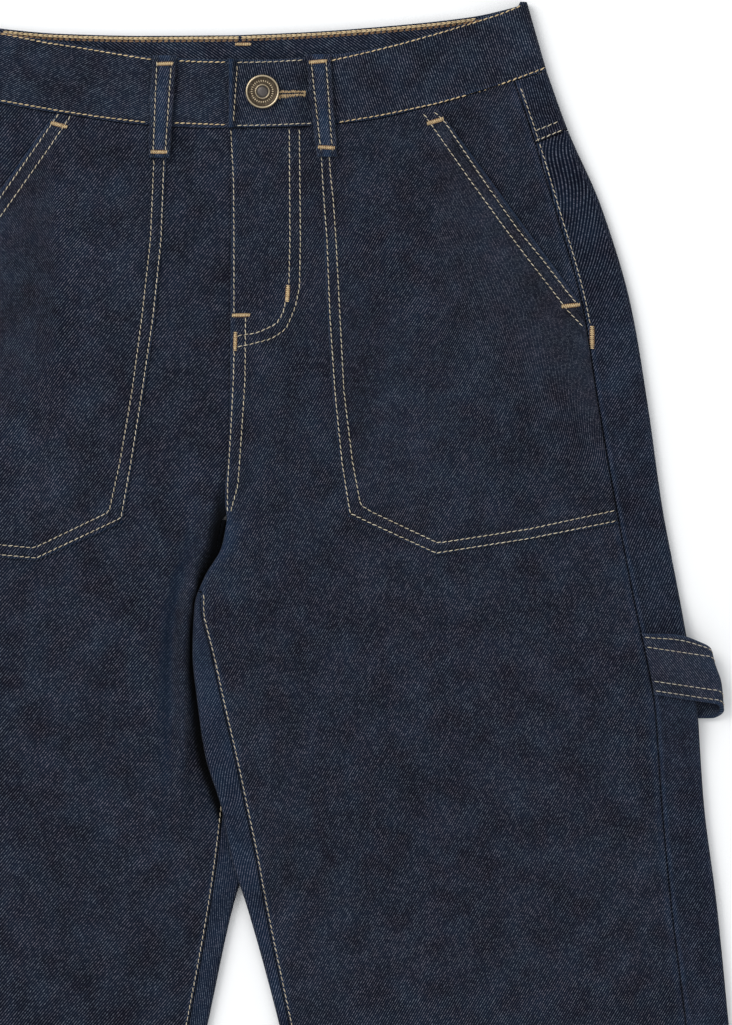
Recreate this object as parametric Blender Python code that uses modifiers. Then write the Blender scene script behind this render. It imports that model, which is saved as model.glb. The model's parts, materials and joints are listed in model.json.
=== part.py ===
"""Baggy work jeans with big patch pockets and a hammer loop, laid flat on their back.

Everything is in metres. The jeans lie on the floor at z = 0 with their front up, the waist towards +Y and
the wearer's left towards +X. The origin is under the middle of their outline. Each cut piece is a wall of
cloth: its outer face goes through a grid of points worked out from the tables below, and Solidify gives
the wall its thickness inwards. Left and right are the wearer's.
"""

import math
from bisect import bisect_right
from collections import namedtuple

import bmesh
import bpy
from mathutils import Vector

# Cloth and how it lies
CLOTH = 0.0012  # one wall of denim
WAISTBAND_CLOTH = 0.0020  # the waistband is two layers
LOOP_CLOTH = 0.0014  # a belt loop is a folded strip
HEM_CLOTH = 0.0022  # the turned-up hem
SEAM_GAP = 0.0003  # between two pieces that meet at a seam
LAID_HEIGHT = 0.0044  # from the lower wall's outer face to the upper wall's
WAIST_HEIGHT = 0.0060  # the same just below the waistband, where the seams lie
WAISTBAND_TOP = 0.0068  # the front waistband's face above the floor
EDGE_ROLL = 0.0009  # how much fuller the legs are near their outer fold
EDGE_ROLL_WIDTH = 0.030
BACK_RISE = 0.0017  # the back waist lies this high, on its belt loops
BACK_RISE_HALF = 0.100
BACK_RISE_END = 0.132

# Heights along the jeans
HEM_Y = -0.452
HEM_DEPTH = 0.013
CROTCH_Y = 0.193
FLY_FOOT_Y = 0.2805  # where the curved fly stitching meets the front seam
FLY_STRAIGHT_Y = 0.310  # above this the fly is FLY_WIDTH wide
FLY_WIDTH = 0.031
LAP_WIDTH = 0.007  # the lapped front seam below the fly
LAP_END_Y = 0.207
LAP_STEP = CLOTH + SEAM_GAP  # the left front lies this much higher along the seam
UNDER_LAP = 0.005  # how far the right front runs under the left one

# How the left thigh lies over the right one
OVERLAP_LIFT = 0.0048
OVERLAP_RAMP = 0.026
OVERLAP_FULL_Y = 0.1805
OVERLAP_LAST_Y = 0.006
OVERLAP_GONE_Y = -0.034

# Hammer loop, on the wearer's left outseam
HAMMER_CLOTH = 0.0020
HAMMER_TOP_Y = 0.1355
HAMMER_WIDTH = 0.031
HAMMER_SLANT = 0.0045  # its far end lies this much lower
HAMMER_REACH = (0.2318, 0.2380)  # where its bend starts, at its upper and lower edge
HAMMER_BACK_X = 0.2060  # where it is sewn to the back
HAMMER_PROP = HAMMER_CLOTH + SEAM_GAP  # the leg lies this high over it

DENIM = ((0.020, 0.024, 0.040, 1.0), 0.85, 0.0)
LOOP_DENIM = ((0.030, 0.038, 0.062, 1.0), 0.85, 0.0)
ANTIQUE_BRASS = ((0.30, 0.24, 0.16, 1.0), 0.38, 0.9)
ZIP_TAPE = ((0.010, 0.012, 0.022, 1.0), 0.8, 0.0)

# The right leg's folded edges and seams at each height. inner and outer are where the cloth turns
# over to the back, and inseam and outseam are where the front is sewn to the back.
LegRow = namedtuple("LegRow", "y outer outseam")
LEG_ROWS = (
    LegRow(0.417, 0.1535, 0.1355),
    LegRow(0.388, 0.1640, 0.1455),
    LegRow(0.350, 0.1806, 0.1572),
    LegRow(0.300, 0.1956, 0.1713),
    LegRow(0.250, 0.2041, 0.1793),
    LegRow(0.200, 0.2112, 0.1880),
    LegRow(0.150, 0.2206, 0.1976),
    LegRow(0.100, 0.2285, 0.2073),
    LegRow(0.050, 0.2322, 0.2110),
    LegRow(0.000, 0.2386, 0.2157),
    LegRow(-0.060, 0.2446, 0.2231),
    LegRow(-0.150, 0.2533, 0.2328),
    LegRow(-0.300, 0.2685, 0.2493),
    LegRow(-0.452, 0.2820, 0.2640),
)
InsideRow = namedtuple("InsideRow", "y inner inseam")
INSIDE_ROWS = {
    "left": (
        InsideRow(0.193, -0.0066, -0.0200),
        InsideRow(0.180, -0.0090, -0.0200),
        InsideRow(0.164, -0.0180, -0.0200),
        InsideRow(0.150, -0.0228, -0.0196),
        InsideRow(0.127, -0.0237, -0.0143),
        InsideRow(0.100, -0.0210, -0.0084),
        InsideRow(0.075, -0.0173, -0.0026),
        InsideRow(0.050, -0.0095, 0.0027),
        InsideRow(0.025, -0.0045, 0.0079),
        InsideRow(0.000, 0.0034, 0.0124),
        InsideRow(-0.060, 0.0197, 0.0249),
        InsideRow(-0.150, 0.0400, 0.0446),
        InsideRow(-0.300, 0.0680, 0.0725),
        InsideRow(-0.452, 0.0894, 0.0936),
    ),
    "right": (
        InsideRow(0.193, -0.0074, 0.0000),
        InsideRow(0.1805, -0.0102, 0.0000),
        InsideRow(0.173, -0.0040, 0.0000),
        InsideRow(0.153, 0.0090, -0.0020),
        InsideRow(0.127, 0.0180, -0.0020),
        InsideRow(0.100, 0.0192, -0.0030),
        InsideRow(0.075, 0.0168, -0.0052),
        InsideRow(0.050, 0.0115, -0.0083),
        InsideRow(0.025, 0.0045, -0.0113),
        InsideRow(0.000, -0.0034, -0.0149),
        InsideRow(-0.060, -0.0164, -0.0259),
        InsideRow(-0.150, -0.0370, -0.0440),
        InsideRow(-0.300, -0.0660, -0.0710),
        InsideRow(-0.452, -0.0880, -0.0922),
    ),
}
FRONT_SEAM = ((0.425, -0.0036), (0.390, -0.0040), (0.330, -0.0047), (0.250, -0.0052), (0.225, -0.0062),
              (0.205, -0.0077), (0.193, -0.0066))
BACK_SEAM = ((0.440, -0.0020), (0.250, -0.0020), (0.205, -0.0060), (0.193, -0.0070))

# The waist, as (x, y) along each edge, from the front seam out to the side fold
WaistEdges = namedtuple("WaistEdges", "front_top front_seam back_top back_seam fold_top fold_seam")
WAIST = {
    "left": WaistEdges(
        front_top=((-0.004, 0.4235), (0.011, 0.4230), (0.045, 0.4256), (0.063, 0.4283), (0.098, 0.4375),
                   (0.128, 0.4475), (0.1435, 0.4520)),
        front_seam=((-0.004, 0.3890), (0.018, 0.3893), (0.048, 0.3910), (0.063, 0.3925), (0.0865, 0.3975),
                    (0.133, 0.4115), (0.1535, 0.4172)),
        back_top=((-0.002, 0.4355), (0.032, 0.4370), (0.072, 0.4400), (0.112, 0.4445), (0.1435, 0.4520)),
        back_seam=((-0.002, 0.4015), (0.072, 0.4060), (0.112, 0.4105), (0.1535, 0.4172)),
        fold_top=0.1435,
        fold_seam=0.1535,
    ),
    "right": WaistEdges(
        front_top=((0.030, 0.4226), (-0.005, 0.4232), (-0.0455, 0.4248), (-0.0755, 0.4300), (-0.1175, 0.4370),
                   (-0.1480, 0.4450)),
        front_seam=((0.030, 0.3903), (0.000, 0.3896), (-0.010, 0.3889), (-0.0455, 0.3902), (-0.0965, 0.3972),
                    (-0.1190, 0.4012), (-0.1560, 0.4090)),
        back_top=((-0.002, 0.4355), (-0.048, 0.4352), (-0.088, 0.4362), (-0.118, 0.4390), (-0.1480, 0.4450)),
        back_seam=((-0.002, 0.4015), (-0.072, 0.4030), (-0.112, 0.4050), (-0.1560, 0.4090)),
        fold_top=-0.1480,
        fold_seam=-0.1560,
    ),
}
OVERLAP_END_TOP = 0.0091  # the buttoned end's face above the floor
OVERLAP_FLAT_X = 0.0275
OVERLAP_DOWN_X = 0.0335
UNDERLAP_END_X = 0.0260

# The yoke seam at the side fold, where the photo shows it, and at the middle of the back
YOKE_FRONT = {"left": ((0.1475, 0.3812), (0.1645, 0.3880)), "right": ((-0.1475, 0.3760), (-0.1660, 0.3820))}
YOKE_MIDDLE_Y = 0.356

# Patch pockets: the corners of each patch, and the slanted mouth cut off it
PatchPocket = namedtuple("PatchPocket", "inner_edge bottom mouth")
PATCH_POCKETS = {
    "left": PatchPocket(
        inner_edge=((0.0396, 0.3950), (0.0430, 0.3070), (0.0473, 0.2430), (0.0540, 0.1945)),
        bottom=((0.0540, 0.1945), (0.0980, 0.1753), (0.1900, 0.1912)),
        mouth=((0.1705, 0.3015), (0.1020, 0.3945)),
    ),
    "right": PatchPocket(
        inner_edge=((-0.0352, 0.3950), (-0.0418, 0.3000), (-0.0500, 0.2440), (-0.0588, 0.1915)),
        bottom=((-0.0588, 0.1915), (-0.1020, 0.1725), (-0.1900, 0.1805)),
        mouth=((-0.1640, 0.2955), (-0.0938, 0.3945)),
    ),
}
MOUTH_LIFT = 0.0012  # the mouth's edge stands off the leg
MOUTH_LIFT_WIDTH = 0.014

# The largest folds: side, height of the crest (a trough is negative), half width before and after it,
# and the points (x, y, share of the height) that it follows. RIDGE is the deep fold beside the crotch.
RIDGE_CREST = ((0.390, -0.0225), (0.300, -0.0205), (0.215, -0.0160), (0.203, -0.0150), (0.1885, -0.0185),
               (0.164, -0.0262), (0.1465, -0.0290), (0.120, -0.0290), (0.075, -0.0275), (0.040, -0.0280),
               (-0.060, -0.0480), (-0.250, -0.0900), (-0.452, -0.1250))
Fold = namedtuple("Fold", "side height before after path")
FOLDS = (
    Fold("right", -0.0008, 0.010, 0.010, ((-0.0225, 0.385, 0.4), (-0.0205, 0.340, 1.0), (-0.018, 0.290, 0.0))),
    Fold("right", -0.0010, 0.007, 0.005, ((-0.022, 0.200, 0.0), (-0.029, 0.175, 0.8), (-0.036, 0.140, 1.0),
                                          (-0.036, 0.095, 0.9), (-0.038, 0.040, 0.0))),
    Fold("right", 0.0014, 0.016, 0.020, ((-0.070, 0.165, 0.0), (-0.078, 0.110, 1.0), (-0.082, 0.030, 0.7),
                                         (-0.090, -0.040, 0.0))),
    Fold("right", 0.0022, 0.014, 0.020, ((-0.120, -0.020, 0.0), (-0.150, -0.090, 1.0), (-0.205, -0.150, 0.0))),
    Fold("right", -0.0010, 0.012, 0.012, ((-0.090, -0.120, 0.0), (-0.130, -0.170, 1.0), (-0.190, -0.200, 0.0))),
    Fold("right", 0.0020, 0.014, 0.016, ((-0.215, -0.240, 0.0), (-0.175, -0.300, 1.0), (-0.140, -0.380, 0.0))),
    Fold("left", -0.0010, 0.008, 0.009, ((0.010, 0.192, 0.0), (0.017, 0.150, 0.9), (0.022, 0.100, 1.0),
                                         (0.026, 0.040, 0.7), (0.034, -0.030, 0.0))),
    Fold("left", 0.0013, 0.012, 0.018, ((0.036, 0.195, 0.0), (0.040, 0.140, 1.0), (0.046, 0.060, 0.8),
                                        (0.056, -0.050, 0.0))),
    Fold("left", -0.0011, 0.007, 0.006, ((0.106, 0.378, 0.2), (0.099, 0.350, 1.0), (0.088, 0.325, 0.8),
                                         (0.076, 0.298, 0.0))),
    Fold("left", 0.0012, 0.010, 0.014, ((0.118, 0.352, 0.0), (0.108, 0.325, 1.0), (0.094, 0.292, 0.0))),
    Fold("left", -0.0009, 0.006, 0.006, ((0.126, 0.398, 0.0), (0.119, 0.384, 1.0), (0.114, 0.372, 0.0))),
    Fold("left", -0.0012, 0.006, 0.005, ((0.128, 0.352, 0.0), (0.142, 0.347, 1.0), (0.166, 0.339, 0.3),
                                         (0.180, 0.335, 0.0))),
    Fold("left", 0.0012, 0.018, 0.020, ((0.120, 0.270, 0.0), (0.132, 0.225, 1.0), (0.128, 0.195, 0.0))),
    Fold("left", 0.0014, 0.020, 0.024, ((0.110, 0.140, 0.0), (0.124, 0.060, 1.0), (0.140, -0.040, 0.0))),
    Fold("left", 0.0022, 0.014, 0.020, ((0.100, -0.030, 0.0), (0.150, -0.090, 1.0), (0.215, -0.130, 0.0))),
    Fold("left", -0.0010, 0.012, 0.012, ((0.075, -0.110, 0.0), (0.120, -0.160, 1.0), (0.190, -0.185, 0.0))),
    Fold("left", 0.0020, 0.014, 0.016, ((0.150, -0.240, 0.0), (0.190, -0.300, 1.0), (0.225, -0.380, 0.0))),
)
RIDGE_HEIGHT = 0.0052
RIDGE_SHARE = ((0.208, 0.0), (0.190, 0.35), (0.165, 0.85), (0.140, 1.0), (0.090, 0.85), (0.060, 0.45),
               (0.030, 0.0))
RIDGE_BEFORE = 0.0062  # half width on its outer side
RIDGE_AFTER = 0.0046  # half width on the side of the crotch
SIDE_SIGN = {"left": 1, "right": -1}

# Rows of points along a panel: from, to, number of steps
RowBand = namedtuple("RowBand", "start end steps")
FRONT_TOP_BANDS = (RowBand(0.389, 0.225, 11), RowBand(0.225, CROTCH_Y, 3))
BACK_TOP_BANDS = (RowBand(YOKE_MIDDLE_Y, CROTCH_Y, 11),)
LEG_BANDS = (RowBand(CROTCH_Y, 0.1805, 2), RowBand(0.1805, 0.1445, 4), RowBand(0.1445, 0.006, 10),
             RowBand(0.006, -0.060, 4), RowBand(-0.060, HEM_Y + HEM_DEPTH, 9), RowBand(HEM_Y + HEM_DEPTH, HEM_Y, 1))
ROWS_LEVEL_BELOW = 0.300  # above this the front's rows bend towards the waist seam
ARC_STEPS = 4
SETTLE_STEPS = 5  # rounds to find where a column meets a sloping row
LEFT_FRONT_STEPS = (0.0, 0.008, 0.020, 0.0275, 0.0335, 0.046)  # first columns, from the front seam
LEFT_FRONT_REST = 9
RIGHT_FRONT_REST = 8
BOTTOM_SHARES = (0.30, 0.62)  # columns of the lower wall, of the way from the ramp to the outer fold
OUTER_STRIP_STEPS = 2
INNER_STRIP_STEPS = 2

# Belt loops: the middle of the upper and lower end, and the widths there
BeltLoop = namedtuple("BeltLoop", "name top foot top_width foot_width")
FRONT_BELT_LOOPS = (
    BeltLoop("belt_loop_front_left", (0.0396, 0.4258), (0.0438, 0.3740), 0.0122, 0.0108),
    BeltLoop("belt_loop_front_right", (-0.0376, 0.4252), (-0.0404, 0.3738), 0.0124, 0.0110),
)
BACK_BELT_LOOPS = (
    BeltLoop("belt_loop_back_middle", (-0.002, 0.4365), (-0.002, 0.3855), 0.012, 0.012),
    BeltLoop("belt_loop_back_left", (0.088, 0.4410), (0.088, 0.3900), 0.012, 0.012),
    BeltLoop("belt_loop_back_right", (-0.088, 0.4365), (-0.088, 0.3855), 0.012, 0.012),
)
# The outer face of a front belt loop: share of its length, height above the floor
LOOP_PROFILE = ((0.0, 0.0086), (0.08, 0.0088), (0.25, 0.0098), (0.45, 0.0103), (0.62, 0.0100), (0.75, 0.0098),
                (0.88, 0.0096), (1.0, 0.0095))

BUTTON_PLACE = (0.0113, 0.4068)
BUTTON_RADIUS = 0.0085
# The button's turned outline, from the middle of its top out and down: radius, height above its seat
BUTTON_PROFILE = ((0.0000, 0.0020), (0.0026, 0.0020), (0.0031, 0.0025), (0.0037, 0.0025), (0.0041, 0.0019),
                  (0.0067, 0.0019), (0.0071, 0.0024), (0.0078, 0.0026), (0.0084, 0.0021), (BUTTON_RADIUS, 0.0012),
                  (0.0081, 0.0004), (0.0062, 0.0000), (0.0000, 0.0000))
BUTTON_STEPS = 28

ZIP_TOP_Y = 0.384
ZIP_FOOT_Y = 0.290
ZIP_WIDTH = 0.022
ZIP_THICKNESS = 0.0008


def curve_through(points):
    """A smooth function through (place, value) points that doesn't overshoot, straight past its ends."""
    ordered = sorted(points)
    places = [place for place, _ in ordered]
    values = [value for _, value in ordered]
    slopes = [(values[i + 1] - values[i]) / (places[i + 1] - places[i]) for i in range(len(ordered) - 1)]
    tangents = [slopes[0]]
    for before, after in zip(slopes, slopes[1:]):
        tangents.append(0.0 if before * after <= 0 else 2 * before * after / (before + after))
    tangents.append(slopes[-1])

    def value(place):
        if place <= places[0]:
            return values[0] + tangents[0] * (place - places[0])
        if place >= places[-1]:
            return values[-1] + tangents[-1] * (place - places[-1])
        i = bisect_right(places, place) - 1
        width = places[i + 1] - places[i]
        t = (place - places[i]) / width
        return ((1 + 2 * t) * (1 - t) ** 2 * values[i] + t * (1 - t) ** 2 * width * tangents[i]
                + t * t * (3 - 2 * t) * values[i + 1] - t * t * (1 - t) * width * tangents[i + 1])

    return value


def step_up(value, start, end):
    """0 before start, 1 past end, and a smooth step between."""
    t = min(1.0, max(0.0, (value - start) / (end - start)))
    return t * t * (3 - 2 * t)


def hump(distance, before, after):
    """A rounded bump of height 1 at 0 that ends at -before and at after."""
    width = before if distance < 0 else after
    return 0.0 if abs(distance) >= width else math.cos(math.pi / 2 * distance / width) ** 2


outer_edge = curve_through([(row.y, row.outer) for row in LEG_ROWS])
outseam_line = curve_through([(row.y, row.outseam) for row in LEG_ROWS])
inner_edge = {side: curve_through([(row.y, row.inner) for row in rows]) for side, rows in INSIDE_ROWS.items()}
inseam_line = {side: curve_through([(row.y, row.inseam) for row in rows]) for side, rows in INSIDE_ROWS.items()}
front_seam = curve_through(FRONT_SEAM)
back_seam = curve_through(BACK_SEAM)
ridge_crest = curve_through(RIDGE_CREST)
ridge_share = curve_through(RIDGE_SHARE)
waist = {
    side: {edge: curve_through(getattr(edges, edge)) for edge in ("front_top", "front_seam", "back_top", "back_seam")}
    for side, edges in WAIST.items()
}
loop_profile = curve_through(LOOP_PROFILE)


def fold_height(fold, x, y):
    """The height of one fold at a place, from the nearest point of the path that it follows."""
    best = None
    for (x0, y0, share0), (x1, y1, share1) in zip(fold.path, fold.path[1:]):
        along_x, along_y = x1 - x0, y1 - y0
        t = ((x - x0) * along_x + (y - y0) * along_y) / (along_x ** 2 + along_y ** 2)
        t = min(1.0, max(0.0, t))
        away_x, away_y = x - x0 - t * along_x, y - y0 - t * along_y
        far = math.hypot(away_x, away_y)
        if best is None or far < best[0]:
            side = 1 if along_x * away_y - along_y * away_x > 0 else -1
            best = (far, side, share0 + (share1 - share0) * t)
    far, side, share = best
    return fold.height * share * hump(far * side, fold.before, fold.after)


def fly_width(y):
    """How far the fly, and the lapped seam below it, reach from the front seam."""
    if y > FLY_STRAIGHT_Y:
        return FLY_WIDTH
    if y > FLY_FOOT_Y:
        t = (y - FLY_FOOT_Y) / (FLY_STRAIGHT_Y - FLY_FOOT_Y)
        return LAP_WIDTH + (FLY_WIDTH - LAP_WIDTH) * math.sqrt(1 - (1 - t) ** 2)
    return LAP_WIDTH


def lower_face(side, x, y):
    """The height of the lower wall's outer face above the floor."""
    rise = BACK_RISE * step_up(y, 0.350, 0.382) * (1 - step_up(abs(x), BACK_RISE_HALF, BACK_RISE_END))
    if side == "right":
        return rise
    along = step_up(y, OVERLAP_GONE_Y, OVERLAP_LAST_Y) * (1 - step_up(y, OVERLAP_FULL_Y, CROTCH_Y))
    under = inner_edge["right"](min(y, CROTCH_Y)) + 0.001
    lift = OVERLAP_LIFT * along * (1 - step_up(x, under, under + OVERLAP_RAMP))
    prop_y = HAMMER_TOP_Y - HAMMER_SLANT / 2 - HAMMER_WIDTH / 2
    beside = 1 - step_up(abs(y - prop_y), HAMMER_WIDTH / 2 + 0.006, HAMMER_WIDTH / 2 + 0.026)
    prop = HAMMER_PROP * beside * step_up(x, HAMMER_BACK_X - 0.040, HAMMER_BACK_X - 0.012)
    return rise + lift + prop


def upper_face(side, x, y):
    """The height of the upper wall's outer face above the floor."""
    sign = SIDE_SIGN[side]
    height = lower_face(side, x, y) + LAID_HEIGHT
    height += (WAIST_HEIGHT - LAID_HEIGHT) * step_up(y, 0.350, 0.382)
    height -= BACK_RISE * step_up(y, 0.350, 0.382) * (1 - step_up(abs(x), BACK_RISE_HALF, BACK_RISE_END))
    height += (HEM_CLOTH - CLOTH) * 1.2 * (1 - step_up(y, HEM_Y + 0.8 * HEM_DEPTH, HEM_Y + 1.6 * HEM_DEPTH))
    edge = outer_edge(y) - sign * x
    height += EDGE_ROLL * hump(edge - 0.012, EDGE_ROLL_WIDTH, EDGE_ROLL_WIDTH)
    if side == "left" and y > CROTCH_Y:
        from_seam = x - front_seam(y)
        width = fly_width(y)
        height += LAP_STEP * (1 - step_up(from_seam, width - 0.001, width + 0.005)) * step_up(y, CROTCH_Y, LAP_END_Y)
    if side == "right":
        crest = ridge_crest(y)
        height += RIDGE_HEIGHT * max(0.0, ridge_share(y)) * hump(x - crest, RIDGE_BEFORE, RIDGE_AFTER) \
            if 0.030 < y < 0.208 else 0.0
    if y < 0.385 or abs(x) > 0.06:
        height += sum(fold_height(fold, x, y) for fold in FOLDS if fold.side == side)
    return height


def remove_everything():
    for old in list(bpy.data.objects):
        bpy.data.objects.remove(old)


def make_material(name, look):
    colour, roughness, metallic = look
    material = bpy.data.materials.new(name)
    material.use_nodes = True
    shader = material.node_tree.nodes["Principled BSDF"]
    shader.inputs["Base Color"].default_value = colour
    shader.inputs["Roughness"].default_value = roughness
    shader.inputs["Metallic"].default_value = metallic
    return material


def make_object(name, mesh, collection, look):
    mesh.materials.append(make_material(name, look))
    made = bpy.data.objects.new(name, mesh)
    collection.objects.link(made)
    return made


def sheet_mesh(name, grid, facing_up):
    """An open sheet through rows of points. A place in the grid may be None, and its faces are left out."""
    bm = bmesh.new()
    corners = [[bm.verts.new(point) if point is not None else None for point in row] for row in grid]
    for upper, lower in zip(corners, corners[1:]):
        for i in range(len(upper) - 1):
            face = [upper[i], lower[i], lower[i + 1], upper[i + 1]]
            if None not in face:
                bm.faces.new(face if facing_up else face[::-1])
    bmesh.ops.triangulate(bm, faces=bm.faces)
    mesh = bpy.data.meshes.new(name)
    bm.to_mesh(mesh)
    bm.free()
    return mesh


def thicken(wall, thickness):
    solid = wall.modifiers.new("cloth", "SOLIDIFY")
    solid.thickness = thickness
    solid.offset = -1
    solid.use_even_offset = True
    solid.use_quality_normals = True
    return solid


def thicken_hem(wall):
    """A wall of CLOTH that is HEM_CLOTH thick along the hem."""
    group = wall.vertex_groups.new(name="hem")
    hem = [v.index for v in wall.data.vertices if v.co.y < HEM_Y + HEM_DEPTH + 0.0001]
    group.add(hem, 1.0, "REPLACE")
    solid = thicken(wall, HEM_CLOTH)
    solid.vertex_group = "hem"
    solid.thickness_vertex_group = CLOTH / HEM_CLOTH


def levels(bands):
    """The heights of a panel's rows, from the top down."""
    found = [bands[0].start]
    for band in bands:
        found += [band.start + (band.end - band.start) * (i + 1) / band.steps for i in range(band.steps)]
    return found


def between(start, end, steps):
    return [start + (end - start) * (i + 1) / steps for i in range(steps)]


def fold_radius(side, edge, sign, y):
    """Half the height of the cloth where it turns over. The turn goes from the lower face to the upper."""
    x = edge + sign * LAID_HEIGHT / 2
    low, high = lower_face(side, x, y), upper_face(side, x, y)
    return (high - low) / 2, (high + low) / 2


def inseam_x(side, y):
    """Where the front meets the back along the inside leg: on the upper face, past the turn of the cloth."""
    sign = SIDE_SIGN[side]
    edge = inner_edge[side](y)
    radius, _ = fold_radius(side, edge, sign, y)
    return sign * max(sign * inseam_line[side](y), sign * edge + radius + 0.0002)


def front_inner_x(side, y):
    """The front panel's edge nearest the middle."""
    sign = SIDE_SIGN[side]
    if y <= CROTCH_Y + 1e-6:
        return inseam_x(side, y) + sign * SEAM_GAP / 2
    if side == "left":
        return front_seam(y)
    under = UNDER_LAP * step_up(y, LAP_END_Y, LAP_END_Y + 0.012)
    return front_seam(y) - SEAM_GAP + under


def front_columns(side, y):
    """Where a front panel's columns cross a row, from the middle of the jeans to the outseam."""
    sign = SIDE_SIGN[side]
    inner = front_inner_x(side, y)
    outer = sign * outseam_line(y) - sign * SEAM_GAP / 2
    if side == "left":
        first = [inner + step for step in LEFT_FRONT_STEPS]
        return first + between(first[-1], outer, LEFT_FRONT_REST)
    crest = ridge_crest(y)
    foot = min(crest + RIDGE_AFTER, inner - 0.002)
    first = [inner, (inner + foot) / 2, foot, (crest + foot) / 2, crest, crest - 0.5 * RIDGE_BEFORE,
             crest - RIDGE_BEFORE]
    return first + between(first[-1], outer, RIGHT_FRONT_REST)


def front_grid(side):
    top = waist[side]["front_seam"]
    grid = []
    for level in levels(FRONT_TOP_BANDS + LEG_BANDS):
        bend = step_up(level, ROWS_LEVEL_BELOW, FRONT_TOP_BANDS[0].start)
        row = []
        for column, x in enumerate(front_columns(side, level)):
            for _ in range(SETTLE_STEPS):
                y = level + (top(x) - SEAM_GAP - FRONT_TOP_BANDS[0].start) * bend
                x = front_columns(side, y)[column]
            row.append(Vector((x, y, upper_face(side, x, y))))
        grid.append(row)
    return grid


def make_fronts(collection):
    sheets = {}
    for side in ("left", "right"):
        mesh = sheet_mesh(f"front_{side}", front_grid(side), side == "left")
        sheets[side] = mesh.copy()
        thicken_hem(make_object(f"front_{side}", mesh, collection, DENIM))
    return sheets


def trim(bm, start, end, sign):
    """Cuts away what lies outside the line from start to end. The patch lies on its left, seen from above."""
    along = Vector((end[0] - start[0], end[1] - start[1], 0)) * sign
    outwards = Vector((along.y, -along.x, 0))
    everything = bm.verts[:] + bm.edges[:] + bm.faces[:]
    bmesh.ops.bisect_plane(bm, geom=everything, dist=1e-6, plane_co=Vector((start[0], start[1], 0)),
                           plane_no=outwards, clear_outer=True)


def make_patch_pocket(side, sheet, collection):
    """A patch cut from the front's own sheet of points, moved out to lie on it."""
    pocket = PATCH_POCKETS[side]
    sign = SIDE_SIGN[side]
    outline = list(pocket.inner_edge) + list(pocket.bottom[1:])
    bm = bmesh.new()
    bm.from_mesh(sheet)
    for start, end in zip(outline, outline[1:]):
        trim(bm, start, end, sign)
    trim(bm, *pocket.mouth, sign)
    bmesh.ops.triangulate(bm, faces=bm.faces)
    bm.normal_update()
    mouth_start, mouth_end = (Vector(point) for point in pocket.mouth)
    mouth_along = (mouth_end - mouth_start).normalized()
    for vertex in bm.verts:
        away = vertex.co.xy - mouth_start
        from_mouth = abs(mouth_along.x * away.y - mouth_along.y * away.x)
        past_ends = min(1.0, max(0.0, away.dot(mouth_along) / 0.02, 0.0))
        lift = MOUTH_LIFT * (1 - step_up(from_mouth, 0.0, MOUTH_LIFT_WIDTH)) * past_ends
        vertex.co += vertex.normal * (CLOTH + SEAM_GAP) + Vector((0, 0, lift))
        vertex.co.x -= sign * SEAM_GAP * step_up(sign * vertex.co.x, 0.14, 0.16)
    mesh = bpy.data.meshes.new(f"patch_pocket_{side}")
    bm.to_mesh(mesh)
    bm.free()
    thicken(make_object(f"patch_pocket_{side}", mesh, collection, DENIM), CLOTH)


def back_columns(side, y, with_inner):
    """A back panel's points across one row: inside strip, inner turn, lower wall, outer turn, outside strip."""
    sign = SIDE_SIGN[side]
    points = []
    outer = sign * outer_edge(y)
    radius_out, middle_out = fold_radius(side, outer, -sign, y)
    bottom_end = outer - sign * radius_out
    if with_inner:
        inner = inner_edge[side](y)
        radius, middle = fold_radius(side, inner, sign, y)
        seam = inseam_x(side, y) - sign * SEAM_GAP / 2
        for x in [seam, *between(seam, inner + sign * radius, INNER_STRIP_STEPS)]:
            points.append((x, upper_face(side, x, y)))
        points[-1] = (inner + sign * radius, middle + radius)
        for i in range(1, ARC_STEPS + 1):
            turn = math.pi / 2 - math.pi * i / ARC_STEPS
            points.append((inner + sign * radius * (1 - math.cos(turn)), middle + radius * math.sin(turn)))
        bottom_start = inner + sign * radius
    else:
        points += [None] * (INNER_STRIP_STEPS + ARC_STEPS)
        bottom_start = back_seam(y) + sign * SEAM_GAP / 2
        points.append((bottom_start, lower_face(side, bottom_start, y)))
    ramp = inner_edge["right"](min(y, CROTCH_Y)) + 0.001 if side == "left" else bottom_start - 0.010
    ramp = sign * max(sign * ramp, sign * bottom_start + 0.003)
    stops = [ramp, ramp + sign * OVERLAP_RAMP * 0.5, ramp + sign * OVERLAP_RAMP]
    reach = bottom_end - sign * 0.030 - stops[-1]
    stops += [stops[-1] + share * reach for share in BOTTOM_SHARES]
    stops += [bottom_end - sign * 0.030, bottom_end - sign * 0.014]
    points += [(x, lower_face(side, x, y)) for x in stops]
    for i in range(ARC_STEPS + 1):
        turn = -math.pi / 2 + math.pi * i / ARC_STEPS
        points.append((bottom_end + sign * radius_out * math.cos(turn), middle_out + radius_out * math.sin(turn)))
    outseam = sign * outseam_line(y) + sign * SEAM_GAP / 2
    points += [(x, upper_face(side, x, y)) for x in between(bottom_end, outseam, OUTER_STRIP_STEPS)]
    return points


def rim_height(side, column, columns, x, lines):
    """The height of a seam that runs round from the back's middle to the outseam, at one column."""
    on_front, at_fold, on_back = lines
    first_arc = columns - OUTER_STRIP_STEPS - ARC_STEPS - 1
    if column < first_arc:
        return on_back(x)
    if column > first_arc + ARC_STEPS:
        return on_front(x)
    return at_fold


def seam_lines(side):
    """The waist seam and the yoke seam as (on the front face, at the side fold, on the back)."""
    waist_lines = (waist[side]["front_seam"], WAIST[side].front_seam[-1][1], waist[side]["back_seam"])
    (x0, y0), (x1, y1) = YOKE_FRONT[side]
    sign = SIDE_SIGN[side]

    def yoke_front(x):
        return y0 + (y1 - y0) * (x - x0) / (x1 - x0)

    def yoke_back(x):
        share = min(1.0, max(0.0, sign * x / abs(x1)))
        return YOKE_MIDDLE_Y + (y1 - YOKE_MIDDLE_Y) * share

    return waist_lines, (yoke_front, y1, yoke_back)


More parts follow.
